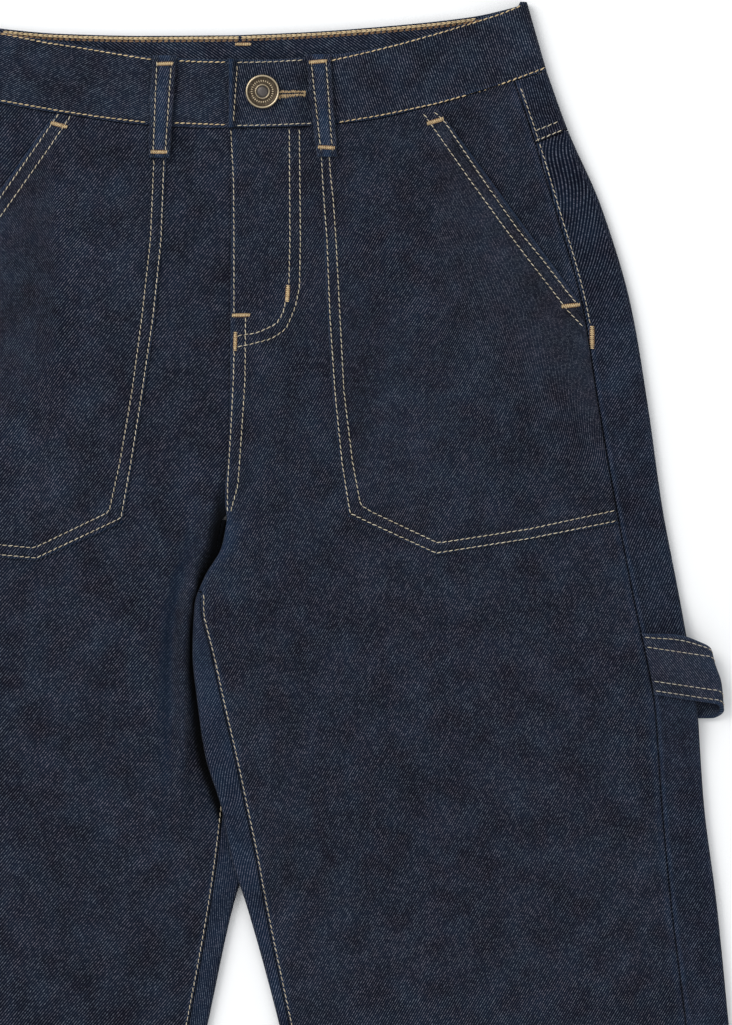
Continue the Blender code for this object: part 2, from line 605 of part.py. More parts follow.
def back_row(side, level, height_of):
    """One row of a back panel. height_of gives the row's height at a column and a place across."""
    with_inner = level <= CROTCH_Y + 1e-6
    guess = back_columns(side, level, with_inner)
    row = []
    for column, point in enumerate(guess):
        if point is None:
            row.append(None)
            continue
        x, z = point
        for _ in range(SETTLE_STEPS):
            y = height_of(column, len(guess), x)
            x, z = back_columns(side, y, with_inner)[column]
        row.append(Vector((x, y, z)))
    return row


def make_backs(collection):
    for side in ("left", "right"):
        waist_line, yoke_line = seam_lines(side)
        grid = []
        for level in levels(BACK_TOP_BANDS + LEG_BANDS):
            bend = step_up(level, CROTCH_Y + 0.02, YOKE_MIDDLE_Y)

            def height_of(column, columns, x, level=level, bend=bend):
                seam = rim_height(side, column, columns, x, yoke_line) - SEAM_GAP
                return level + (seam - YOKE_MIDDLE_Y) * bend

            grid.append(back_row(side, level, height_of))
        mesh = sheet_mesh(f"back_{side}", grid, side == "right")
        thicken_hem(make_object(f"back_{side}", mesh, collection, DENIM))
        yoke_steps = 3
        grid = []
        for i in range(yoke_steps + 1):
            share = i / yoke_steps

            def height_of(column, columns, x, share=share):
                top = rim_height(side, column, columns, x, waist_line) - SEAM_GAP
                foot = rim_height(side, column, columns, x, yoke_line) + SEAM_GAP / 2
                return top + (foot - top) * share

            grid.append(back_row(side, 0.400, height_of))
        mesh = sheet_mesh(f"yoke_{side}", grid, side == "right")
        thicken(make_object(f"yoke_{side}", mesh, collection, DENIM), CLOTH)


def waistband_front_top(side, x):
    if side == "right":
        return WAISTBAND_TOP
    return OVERLAP_END_TOP + (WAISTBAND_TOP - OVERLAP_END_TOP) * step_up(x, OVERLAP_FLAT_X, OVERLAP_DOWN_X)


def waistband_column(side, part, at):
    """The band's outer points at one place round the waist, from its seam up to its top edge."""
    edges = WAIST[side]
    sign = SIDE_SIGN[side]
    points = []
    for share in (0.0, 0.34, 0.67, 1.0):
        fold = edges.fold_seam + (edges.fold_top - edges.fold_seam) * share
        radius = WAISTBAND_TOP / 2
        turn_start = fold - sign * radius
        x = min(at, turn_start * sign) * sign if part != "turn" else turn_start
        if part == "turn":
            y = edges.front_seam[-1][1] + (edges.front_top[-1][1] - edges.front_seam[-1][1]) * share
            points.append(Vector((turn_start + sign * radius * math.cos(at), y, radius + radius * math.sin(at))))
            continue
        seam, top = waist[side][part + "_seam"], waist[side][part + "_top"]
        scaled = x * (1 - 0.35 * share * abs(edges.fold_seam - edges.fold_top) / abs(edges.fold_seam))
        y = seam(x) + (top(scaled) - seam(x)) * share
        if part == "front":
            z = waistband_front_top(side, x)
        else:
            z = BACK_RISE * (1 - step_up(abs(x), BACK_RISE_HALF, BACK_RISE_END))
        points.append(Vector((x, y, z)))
    return points


def make_waistband(collection):
    """One band, from its buttoned end round the wearer's left side and the back to the end under the button."""
    front_left = (-0.0040, 0.0110, OVERLAP_FLAT_X, OVERLAP_DOWN_X, 0.050, 0.070, 0.090, 0.108, 0.126, 0.140)
    front_right = (0.140, 0.122, 0.104, 0.086, 0.068, 0.050, 0.030, 0.010, 0.000, -0.012)
    back = (0.138, 0.120, 0.104, 0.080, 0.054, 0.027)
    turns = [math.pi / 2 - math.pi * i / (ARC_STEPS + 1) for i in range(ARC_STEPS + 2)]
    columns = [waistband_column("left", "front", x) for x in front_left]
    columns += [waistband_column("left", "turn", turn) for turn in turns]
    columns += [waistband_column("left", "back", x) for x in back]
    columns.append(waistband_column("left", "back", -0.002))
    columns += [waistband_column("right", "back", x) for x in back[::-1]]
    columns += [waistband_column("right", "turn", turn) for turn in turns[::-1]]
    columns += [waistband_column("right", "front", x) for x in front_right]
    columns.append(waistband_column("right", "front", -UNDERLAP_END_X))
    mesh = sheet_mesh("waistband", columns, True)
    thicken(make_object("waistband", mesh, collection, DENIM), WAISTBAND_CLOTH)


def make_front_belt_loop(loop, collection):
    grid = []
    for share, _ in LOOP_PROFILE:
        middle = Vector(loop.top).lerp(Vector(loop.foot), share)
        half = (loop.top_width + (loop.foot_width - loop.top_width) * share) / 2
        z = loop_profile(share)
        grid.append([Vector((middle.x + half * across, middle.y, z)) for across in (-1, 0, 1)])
    mesh = sheet_mesh(loop.name, grid, True)
    thicken(make_object(loop.name, mesh, collection, LOOP_DENIM), LOOP_CLOTH)


def make_back_belt_loop(loop, collection):
    length = loop.top[1] - loop.foot[1]
    bpy.ops.mesh.primitive_cube_add(size=1)
    made = bpy.context.object
    made.name = loop.name
    made.location = (loop.top[0], loop.top[1] - length / 2, LOOP_CLOTH / 2)
    made.data.transform(made.matrix_world.Scale(loop.top_width, 4, (1, 0, 0)))
    made.data.transform(made.matrix_world.Scale(length, 4, (0, 1, 0)))
    made.data.transform(made.matrix_world.Scale(LOOP_CLOTH, 4, (0, 0, 1)))
    made.data.materials.append(make_material(loop.name, LOOP_DENIM))
    for home in list(made.users_collection):
        home.objects.unlink(made)
    collection.objects.link(made)


def make_hammer_loop(collection):
    """A strip from the outseam out past the leg's edge, round and back under the leg."""
    top = upper_face("left", outer_edge(HAMMER_TOP_Y) - LAID_HEIGHT, HAMMER_TOP_Y) + SEAM_GAP + HAMMER_CLOTH
    radius = top / 2
    grid = []
    rows = 3
    for i in range(rows + 1):
        share = i / rows
        y = HAMMER_TOP_Y - HAMMER_WIDTH * share
        seam = outseam_line(y) + SEAM_GAP
        bend = HAMMER_REACH[0] + (HAMMER_REACH[1] - HAMMER_REACH[0]) * share
        row = []
        for x in [seam, *between(seam, bend, 4)]:
            far = (x - seam) / (bend - seam)
            low = y - HAMMER_SLANT * far
            over = upper_face("left", min(x, outer_edge(low) - LAID_HEIGHT), low) + SEAM_GAP + HAMMER_CLOTH
            row.append(Vector((x, low, over + (top - over) * step_up(far, 0.3, 1.0))))
        for j in range(1, 6):
            turn = math.pi / 2 - math.pi * j / 6
            row.append(Vector((bend + radius * math.cos(turn), y - HAMMER_SLANT, radius + radius * math.sin(turn))))
        for x in [bend, *between(bend, HAMMER_BACK_X, 3)]:
            row.append(Vector((x, y - HAMMER_SLANT, 0.0)))
        grid.append(row)
    mesh = sheet_mesh("hammer_loop", grid, True)
    thicken(make_object("hammer_loop", mesh, collection, LOOP_DENIM), HAMMER_CLOTH)


def make_button(collection):
    """A turned tack button on the waistband's overlap."""
    bm = bmesh.new()
    seat = OVERLAP_END_TOP + SEAM_GAP
    ring = [bm.verts.new((radius, 0, height)) for radius, height in BUTTON_PROFILE]
    for upper, lower in zip(ring, ring[1:]):
        bm.edges.new((upper, lower))
    mesh = bpy.data.meshes.new("button")
    bm.to_mesh(mesh)
    bm.free()
    button = make_object("button", mesh, collection, ANTIQUE_BRASS)
    button.location = (*BUTTON_PLACE, seat)
    turned = button.modifiers.new("turned", "SCREW")
    turned.steps = turned.render_steps = BUTTON_STEPS
    turned.use_merge_vertices = True
    turned.merge_threshold = 0.00001


def make_zip(collection):
    """The closed zip, plain, between the back and the fly that hides it."""
    middle = front_seam(0.33) + 0.004
    grid = []
    steps = 6
    for i in range(steps + 1):
        y = ZIP_TOP_Y + (ZIP_FOOT_Y - ZIP_TOP_Y) * i / steps
        z = max(lower_face("left", 0.0, y), lower_face("left", 0.0, y + 0.008)) + CLOTH + SEAM_GAP + ZIP_THICKNESS
        grid.append([Vector((middle + across * ZIP_WIDTH / 2, y, z)) for across in (-1, 1)])
    mesh = sheet_mesh("fly_zip", grid, True)
    thicken(make_object("fly_zip", mesh, collection, ZIP_TAPE), ZIP_THICKNESS)


def main():
    remove_everything()
    jeans = bpy.data.collections.new("baggy_jeans")
    bpy.context.scene.collection.children.link(jeans)
    sheets = make_fronts(jeans)
    for side, sheet in sheets.items():
        make_patch_pocket(side, sheet, jeans)
        bpy.data.meshes.remove(sheet)
    make_backs(jeans)
    make_waistband(jeans)
    for loop in FRONT_BELT_LOOPS:
        make_front_belt_loop(loop, jeans)
    for loop in BACK_BELT_LOOPS:
        make_back_belt_loop(loop, jeans)
    make_hammer_loop(jeans)
    make_button(jeans)
    make_zip(jeans)


main()
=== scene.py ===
"""Baggy work jeans laid flat on a pale floor: their cloth, sewing and button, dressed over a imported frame.

The jeans lie on their back with their front up, the waist towards +Y and the wearer's left towards +X.
Everything is in metres. Left and right are the wearer's. Each cut piece is a thin shell of denim over the
solid that it stands for, and each stitch is a short piece of thread that lies on the cloth.
"""

import json
import math
import random
from collections import namedtuple

import bmesh
import bpy
import numpy as np
from bpy.props import FloatProperty, FloatVectorProperty, PointerProperty
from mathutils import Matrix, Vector
from mathutils.bvhtree import BVHTree

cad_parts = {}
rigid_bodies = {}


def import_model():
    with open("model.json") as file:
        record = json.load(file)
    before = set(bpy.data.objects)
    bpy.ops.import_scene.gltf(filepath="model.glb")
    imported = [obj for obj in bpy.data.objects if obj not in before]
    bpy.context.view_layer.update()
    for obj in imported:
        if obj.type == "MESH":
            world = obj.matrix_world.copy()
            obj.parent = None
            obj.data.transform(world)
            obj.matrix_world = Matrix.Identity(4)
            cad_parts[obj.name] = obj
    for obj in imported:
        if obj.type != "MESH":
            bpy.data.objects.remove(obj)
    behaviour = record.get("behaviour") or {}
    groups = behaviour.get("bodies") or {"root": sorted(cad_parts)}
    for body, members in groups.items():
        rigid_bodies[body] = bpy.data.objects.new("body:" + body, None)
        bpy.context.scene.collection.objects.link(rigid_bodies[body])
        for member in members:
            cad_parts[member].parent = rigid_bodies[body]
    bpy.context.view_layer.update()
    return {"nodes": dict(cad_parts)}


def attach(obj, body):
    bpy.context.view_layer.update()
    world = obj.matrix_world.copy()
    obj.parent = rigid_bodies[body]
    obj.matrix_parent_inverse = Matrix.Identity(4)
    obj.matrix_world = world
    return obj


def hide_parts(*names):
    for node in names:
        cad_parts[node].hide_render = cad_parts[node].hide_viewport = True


bl_info = {
    "name": "Flat Work Jeans",
    "version": (1, 0, 0),
    "blender": (4, 5, 0),
    "location": "3D View > Sidebar > Jeans",
    "description": "Builds baggy denim work jeans, laid flat, piece by piece",
    "category": "Add Mesh",
}

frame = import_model()

# How a place on the photograph, in pixels, lies on the jeans
PIXEL = 0.0005
PHOTO_SIZE = (732, 1025)
PHOTO_ZERO = (240, 906)

# Cloth and how it lies
CLOTH = 0.0012
SEAM_GAP = 0.0003
LAID_HEIGHT = 0.0044
WAIST_HEIGHT = 0.0060
WAISTBAND_TOP = 0.0068
WAISTBAND_CLOTH = 0.0020
HEM_CLOTH = 0.0022
LOOP_CLOTH = 0.0014
EDGE_FULLNESS = 0.0009
EDGE_FULLNESS_WIDTH = 0.030
BACK_RISE = 0.0017
BACK_RISE_HALF = 0.100
BACK_RISE_END = 0.132
RISE_START_Y = 0.350
RISE_END_Y = 0.382
EDGE_RADIUS = 0.0014
EDGE_DEPTH = 0.0008

HEM_Y = -0.452
HEM_DEPTH = 0.013
CROTCH_Y = 0.193
FLY_FOOT_Y = 0.2805
FLY_STRAIGHT_Y = 0.310
FLY_WIDTH = 0.031
LAP_WIDTH = 0.007
LAP_END_Y = 0.207
LAP_STEP = CLOTH + SEAM_GAP
UNDER_LAP = 0.005
OVERLAP_LIFT = 0.0048
OVERLAP_RAMP = 0.026
OVERLAP_FULL_Y = 0.1805
OVERLAP_LAST_Y = 0.006
OVERLAP_GONE_Y = -0.034

HAMMER_CLOTH = 0.0020
HAMMER_TOP_Y = 0.1355
HAMMER_WIDTH = 0.031
HAMMER_SLANT = 0.0045
HAMMER_BEND = ((0.0, 0.2309), (0.1, 0.2316), (0.25, 0.2326), (0.6, 0.2361), (1.0, 0.2372))
HAMMER_BULGE = 0.0018
HAMMER_CORNER = 0.0014
HAMMER_RISE = 0.0012  # how much higher up the leg its cloth lies than its solid
HAMMER_TWIST = 0.0075  # the part beneath is sewn on lower down, so the loop's inside shows
HAMMER_ROWS = (0.066, 0.225, 0.775, 0.930)
HAMMER_BACK_X = 0.2060
HAMMER_PROP = HAMMER_CLOTH + SEAM_GAP

SIGN = {"left": 1, "right": -1}

LegRow = namedtuple("LegRow", "y outer outseam")
LEG_ROWS = (
    LegRow(0.417, 0.1535, 0.1355),
    LegRow(0.388, 0.1640, 0.1455),
    LegRow(0.350, 0.1806, 0.1572),
    LegRow(0.300, 0.1956, 0.1713),
    LegRow(0.250, 0.2041, 0.1793),
    LegRow(0.200, 0.2112, 0.1880),
    LegRow(0.150, 0.2206, 0.1976),
    LegRow(0.100, 0.2285, 0.2073),
    LegRow(0.050, 0.2322, 0.2110),
    LegRow(0.000, 0.2386, 0.2157),
    LegRow(-0.060, 0.2446, 0.2231),
    LegRow(-0.150, 0.2533, 0.2328),
    LegRow(-0.300, 0.2685, 0.2493),
    LegRow(-0.452, 0.2820, 0.2640),
)
InsideRow = namedtuple("InsideRow", "y inner inseam")
INSIDE_ROWS = {
    "left": (
        InsideRow(0.193, -0.0066, -0.0200),
        InsideRow(0.180, -0.0090, -0.0200),
        InsideRow(0.164, -0.0180, -0.0200),
        InsideRow(0.150, -0.0228, -0.0196),
        InsideRow(0.127, -0.0237, -0.0143),
        InsideRow(0.100, -0.0210, -0.0084),
        InsideRow(0.075, -0.0173, -0.0026),
        InsideRow(0.050, -0.0095, 0.0027),
        InsideRow(0.025, -0.0045, 0.0079),
        InsideRow(0.000, 0.0034, 0.0124),
        InsideRow(-0.060, 0.0197, 0.0249),
        InsideRow(-0.150, 0.0400, 0.0446),
        InsideRow(-0.300, 0.0680, 0.0725),
        InsideRow(-0.452, 0.0894, 0.0936),
    ),
    "right": (
        InsideRow(0.193, -0.0067, 0.0000),
        InsideRow(0.187, -0.0077, 0.0000),
        InsideRow(0.1805, -0.0091, 0.0000),
        InsideRow(0.173, -0.0040, 0.0000),
        InsideRow(0.153, 0.0090, -0.0020),
        InsideRow(0.127, 0.0180, -0.0020),
        InsideRow(0.100, 0.0192, -0.0030),
        InsideRow(0.075, 0.0168, -0.0052),
        InsideRow(0.050, 0.0115, -0.0083),
        InsideRow(0.025, 0.0045, -0.0113),
        InsideRow(0.000, -0.0034, -0.0149),
        InsideRow(-0.060, -0.0164, -0.0259),
        InsideRow(-0.150, -0.0370, -0.0440),
        InsideRow(-0.300, -0.0660, -0.0710),
        InsideRow(-0.452, -0.0880, -0.0922),
    ),
}
FRONT_SEAM = ((0.425, -0.0036), (0.390, -0.0040), (0.330, -0.0047), (0.250, -0.0052), (0.225, -0.0062),
              (0.205, -0.0077), (0.193, -0.0066))
BACK_SEAM = ((0.440, -0.0020), (0.250, -0.0020), (0.205, -0.0060), (0.193, -0.0070))

WaistEdges = namedtuple("WaistEdges", "front_top front_seam back_top back_seam fold_top fold_seam")
WAIST = {
    "left": WaistEdges(
        front_top=((-0.004, 0.4235), (0.011, 0.4230), (0.045, 0.4256), (0.063, 0.4283), (0.098, 0.4375),
                   (0.128, 0.4475), (0.1435, 0.4520)),
        front_seam=((-0.004, 0.3890), (0.018, 0.3893), (0.048, 0.3910), (0.063, 0.3925), (0.0865, 0.3975),
                    (0.133, 0.4115), (0.1535, 0.4172)),
        back_top=((-0.002, 0.4355), (0.032, 0.4370), (0.072, 0.4400), (0.112, 0.4445), (0.1435, 0.4520)),
        back_seam=((-0.002, 0.4015), (0.072, 0.4060), (0.112, 0.4105), (0.1535, 0.4172)),
        fold_top=0.1435,
        fold_seam=0.1535,
    ),
    "right": WaistEdges(
        front_top=((0.030, 0.4226), (-0.005, 0.4232), (-0.0455, 0.4248), (-0.0755, 0.4300), (-0.1175, 0.4370),
                   (-0.1480, 0.4450)),
        front_seam=((0.030, 0.3903), (0.000, 0.3896), (-0.010, 0.3889), (-0.0455, 0.3902), (-0.0965, 0.3972),
                    (-0.1190, 0.4012), (-0.1560, 0.4090)),
        back_top=((-0.002, 0.4355), (-0.048, 0.4352), (-0.088, 0.4362), (-0.118, 0.4390), (-0.1480, 0.4450)),
        back_seam=((-0.002, 0.4015), (-0.072, 0.4030), (-0.112, 0.4050), (-0.1560, 0.4090)),
        fold_top=-0.1480,
        fold_seam=-0.1560,
    ),
}
OVERLAP_END_TOP = 0.0091
OVERLAP_EDGE_X = -0.0058
OVERLAP_FLAT_X = 0.0275
OVERLAP_DOWN_X = 0.0335
UNDERLAP_END_X = 0.0260
YOKE_FRONT = {"left": ((0.1475, 0.3812), (0.1645, 0.3880)), "right": ((-0.1475, 0.3760), (-0.1660, 0.3820))}
YOKE_MIDDLE_Y = 0.356
WAIST_LEVEL = 0.389  # the front's highest row, before it bends to the waist seam
ROWS_LEVEL_BELOW = 0.300

PatchPocket = namedtuple("PatchPocket", "inner_edge bottom mouth")
PATCH_POCKETS = {
    "left": PatchPocket(
        inner_edge=((0.3950, 0.0396), (0.3070, 0.0430), (0.2430, 0.0473), (0.1945, 0.0540)),
        bottom=((0.0540, 0.1945), (0.0980, 0.1753), (0.1900, 0.1912)),
        mouth=((0.1020, 0.3945), (0.1705, 0.3015)),
    ),
    "right": PatchPocket(
        inner_edge=((0.3950, -0.0352), (0.3000, -0.0418), (0.2440, -0.0500), (0.1915, -0.0588)),
        bottom=((-0.0588, 0.1915), (-0.1020, 0.1725), (-0.1900, 0.1805)),
        mouth=((-0.0938, 0.3945), (-0.1640, 0.2955)),
    ),
}
MOUTH_LIFT = 0.0012
MOUTH_LIFT_WIDTH = 0.014

# The folds: side, height of the crest (a trough is negative), half width before and after it, and the
# points (x, y, share of the height) that it follows
RIDGE_CREST = ((0.390, -0.0225), (0.300, -0.0205), (0.215, -0.0140), (0.203, -0.0142), (0.1885, -0.0160),
               (0.1795, -0.0175), (0.162, -0.0228), (0.1445, -0.0268), (0.120, -0.0282), (0.075, -0.0285), (0.040, -0.0290),
               (-0.060, -0.0480), (-0.250, -0.0900), (-0.452, -0.1250))
RIDGE_SHARE = ((0.208, 0.0), (0.190, 0.35), (0.165, 0.85), (0.140, 1.0), (0.090, 0.85), (0.060, 0.45),
               (0.030, 0.0))
RIDGE_HEIGHT = 0.0052
RIDGE_BEFORE = 0.0068
RIDGE_VALLEY = 0.0088  # from the crest to the trough beside it
RIDGE_AFTER = 0.0042
Fold = namedtuple("Fold", "side height before after path")
FOLDS = (
    Fold("right", -0.0008, 0.010, 0.010, ((-0.0225, 0.385, 0.4), (-0.0205, 0.340, 1.0), (-0.018, 0.290, 0.0))),
    Fold("right", -0.0014, 0.006, 0.004, ((-0.022, 0.205, 0.0), (-0.0275, 0.1775, 0.8), (-0.0320, 0.1565, 1.0),
                                          (-0.0350, 0.133, 1.0), (-0.0365, 0.1095, 0.8), (-0.038, 0.045, 0.0))),
    Fold("right", 0.0014, 0.016, 0.020, ((-0.070, 0.165, 0.0), (-0.078, 0.110, 1.0), (-0.082, 0.030, 0.7),
                                         (-0.090, -0.040, 0.0))),
    Fold("right", 0.0022, 0.014, 0.020, ((-0.120, -0.020, 0.0), (-0.150, -0.090, 1.0), (-0.205, -0.150, 0.0))),
    Fold("right", -0.0010, 0.012, 0.012, ((-0.090, -0.120, 0.0), (-0.130, -0.170, 1.0), (-0.190, -0.200, 0.0))),
    Fold("right", 0.0020, 0.014, 0.016, ((-0.215, -0.240, 0.0), (-0.175, -0.300, 1.0), (-0.140, -0.380, 0.0))),
    Fold("left", -0.0010, 0.008, 0.009, ((0.010, 0.192, 0.0), (0.017, 0.150, 0.9), (0.022, 0.100, 1.0),
                                         (0.026, 0.040, 0.7), (0.034, -0.030, 0.0))),
    Fold("left", 0.0013, 0.012, 0.018, ((0.036, 0.195, 0.0), (0.040, 0.140, 1.0), (0.046, 0.060, 0.8),
                                        (0.056, -0.050, 0.0))),
    Fold("left", -0.0011, 0.007, 0.006, ((0.106, 0.378, 0.2), (0.099, 0.350, 1.0), (0.088, 0.325, 0.8),
                                         (0.076, 0.298, 0.0))),
    Fold("left", 0.0012, 0.010, 0.014, ((0.118, 0.352, 0.0), (0.108, 0.325, 1.0), (0.094, 0.292, 0.0))),
    Fold("left", -0.0009, 0.006, 0.006, ((0.126, 0.398, 0.0), (0.119, 0.384, 1.0), (0.114, 0.372, 0.0))),
    Fold("left", -0.0012, 0.006, 0.005, ((0.128, 0.352, 0.0), (0.142, 0.347, 1.0), (0.166, 0.339, 0.3),
                                         (0.180, 0.335, 0.0))),
    Fold("left", 0.0012, 0.018, 0.020, ((0.120, 0.270, 0.0), (0.132, 0.225, 1.0), (0.128, 0.195, 0.0))),
    Fold("left", 0.0014, 0.020, 0.024, ((0.110, 0.140, 0.0), (0.124, 0.060, 1.0), (0.140, -0.040, 0.0))),
    Fold("left", 0.0022, 0.014, 0.020, ((0.100, -0.030, 0.0), (0.150, -0.090, 1.0), (0.215, -0.130, 0.0))),
    Fold("left", -0.0010, 0.012, 0.012, ((0.075, -0.110, 0.0), (0.120, -0.160, 1.0), (0.190, -0.185, 0.0))),
    Fold("left", 0.0020, 0.014, 0.016, ((0.150, -0.240, 0.0), (0.190, -0.300, 1.0), (0.225, -0.380, 0.0))),
)
# Small creases that only this surface has
CREASES = (
    Fold("left", -0.0005, 0.0030, 0.0026, ((0.004, 0.381, 0.2), (0.012, 0.379, 1.0), (0.022, 0.381, 0.3))),
    Fold("left", -0.0004, 0.0026, 0.0030, ((0.006, 0.371, 0.2), (0.014, 0.369, 1.0), (0.023, 0.366, 0.2))),
    Fold("left", 0.0005, 0.0040, 0.0050, ((0.034, 0.380, 0.0), (0.040, 0.345, 1.0), (0.046, 0.300, 0.0))),
    Fold("left", -0.0006, 0.0050, 0.0060, ((0.060, 0.372, 0.0), (0.066, 0.350, 1.0), (0.064, 0.322, 0.0))),
    Fold("left", -0.0005, 0.0050, 0.0050, ((0.121, 0.392, 0.0), (0.127, 0.374, 1.0), (0.141, 0.362, 0.2))),
    Fold("left", 0.0006, 0.0050, 0.0060, ((0.136, 0.391, 0.0), (0.141, 0.376, 1.0), (0.150, 0.360, 0.0))),
    Fold("left", -0.0006, 0.0080, 0.0070, ((0.070, 0.255, 0.0), (0.085, 0.235, 1.0), (0.090, 0.205, 0.1))),
    Fold("left", 0.0006, 0.0070, 0.0090, ((0.020, 0.270, 0.0), (0.030, 0.240, 1.0), (0.037, 0.205, 0.2))),
    Fold("left", -0.0006, 0.0060, 0.0080, ((0.004, 0.262, 0.0), (0.014, 0.228, 1.0), (0.020, 0.196, 0.2))),
    Fold("left", -0.0007, 0.0070, 0.0080, ((0.058, 0.180, 0.0), (0.062, 0.120, 1.0), (0.066, 0.040, 0.2))),
    Fold("left", 0.0006, 0.0070, 0.0080, ((0.078, 0.165, 0.0), (0.082, 0.105, 1.0), (0.090, 0.030, 0.1))),
    Fold("left", -0.0007, 0.0080, 0.0080, ((0.150, 0.170, 0.0), (0.160, 0.130, 1.0), (0.164, 0.080, 0.1))),
    Fold("left", 0.0007, 0.0060, 0.0060, ((0.176, 0.172, 0.0), (0.186, 0.150, 1.0), (0.192, 0.120, 0.2))),
    Fold("left", -0.0006, 0.0060, 0.0060, ((0.150, 0.060, 0.0), (0.172, 0.045, 1.0), (0.196, 0.044, 0.2))),
    Fold("left", -0.0006, 0.0070, 0.0090, ((0.030, 0.010, 0.0), (0.036, -0.040, 1.0), (0.048, -0.100, 0.2))),
    Fold("left", -0.0008, 0.0090, 0.0090, ((0.110, -0.230, 0.0), (0.150, -0.260, 1.0), (0.215, -0.262, 0.2))),
    Fold("right", -0.0005, 0.0040, 0.0040, ((-0.020, 0.380, 0.3), (-0.024, 0.345, 1.0), (-0.024, 0.300, 0.2))),
    Fold("right", 0.0005, 0.0040, 0.0040, ((-0.014, 0.376, 0.2), (-0.015, 0.340, 1.0), (-0.016, 0.290, 0.1))),
    Fold("right", 0.0006, 0.0060, 0.0050, ((-0.045, 0.190, 0.0), (-0.050, 0.150, 1.0), (-0.050, 0.090, 0.2))),
    Fold("right", -0.0006, 0.0060, 0.0070, ((-0.060, 0.150, 0.0), (-0.064, 0.100, 1.0), (-0.070, 0.020, 0.1))),
    Fold("right", -0.0006, 0.0080, 0.0080, ((-0.090, 0.330, 0.0), (-0.080, 0.290, 1.0), (-0.076, 0.240, 0.1))),
    Fold("right", 0.0007, 0.0080, 0.0080, ((-0.105, 0.260, 0.0), (-0.112, 0.225, 1.0), (-0.104, 0.190, 0.2))),
    Fold("right", -0.0007, 0.0080, 0.0080, ((-0.110, 0.140, 0.0), (-0.118, 0.080, 1.0), (-0.130, 0.020, 0.1))),
    Fold("right", -0.0008, 0.0090, 0.0090, ((-0.110, -0.230, 0.0), (-0.160, -0.255, 1.0), (-0.220, -0.262, 0.2))),
)

BeltLoop = namedtuple("BeltLoop", "name top foot top_width foot_width")
FRONT_BELT_LOOPS = (
    BeltLoop("belt_loop_front_left", (0.0390, 0.4258), (0.0436, 0.3742), 0.0126, 0.0106),
    BeltLoop("belt_loop_front_right", (-0.0376, 0.4252), (-0.0404, 0.3738), 0.0124, 0.0110),
)
BACK_BELT_LOOPS = (
    BeltLoop("belt_loop_back_middle", (-0.002, 0.4365), (-0.002, 0.3855), 0.012, 0.012),
    BeltLoop("belt_loop_back_left", (0.088, 0.4410), (0.088, 0.3900), 0.012, 0.012),
    BeltLoop("belt_loop_back_right", (-0.088, 0.4365), (-0.088, 0.3855), 0.012, 0.012),
)
LOOP_PROFILE = ((0.0, 0.0086), (0.08, 0.0088), (0.25, 0.0098), (0.45, 0.0103), (0.62, 0.0100), (0.75, 0.0098),
                (0.88, 0.0096), (1.0, 0.0095))

BACK_LOOP_TUCK = 0.0020  # how far the cloth of a back loop's top stays below its solid's

BUTTON_PLACE = (0.0113, 0.4068)
BUTTON_RADIUS = 0.0085
BUTTON_PROFILE = ((0.0000, 0.00225), (0.0010, 0.00222), (0.0020, 0.00212), (0.0025, 0.00190), (0.0027, 0.00160),
                  (0.00295, 0.00160), (0.0031, 0.00215), (0.0034, 0.00240), (0.0037, 0.00215), (0.0039, 0.00155),
                  (0.0043, 0.00145), (0.0066, 0.00145), (0.0071, 0.00165), (0.0074, 0.00220), (0.0078, 0.00258),
                  (0.0081, 0.00250), (0.0084, 0.00205), (BUTTON_RADIUS, 0.00130), (0.0082, 0.00050),
                  (0.0064, 0.00005), (0.0000, 0.00000))
BUTTON_STEPS = 96
BUTTON_PIPS = 30

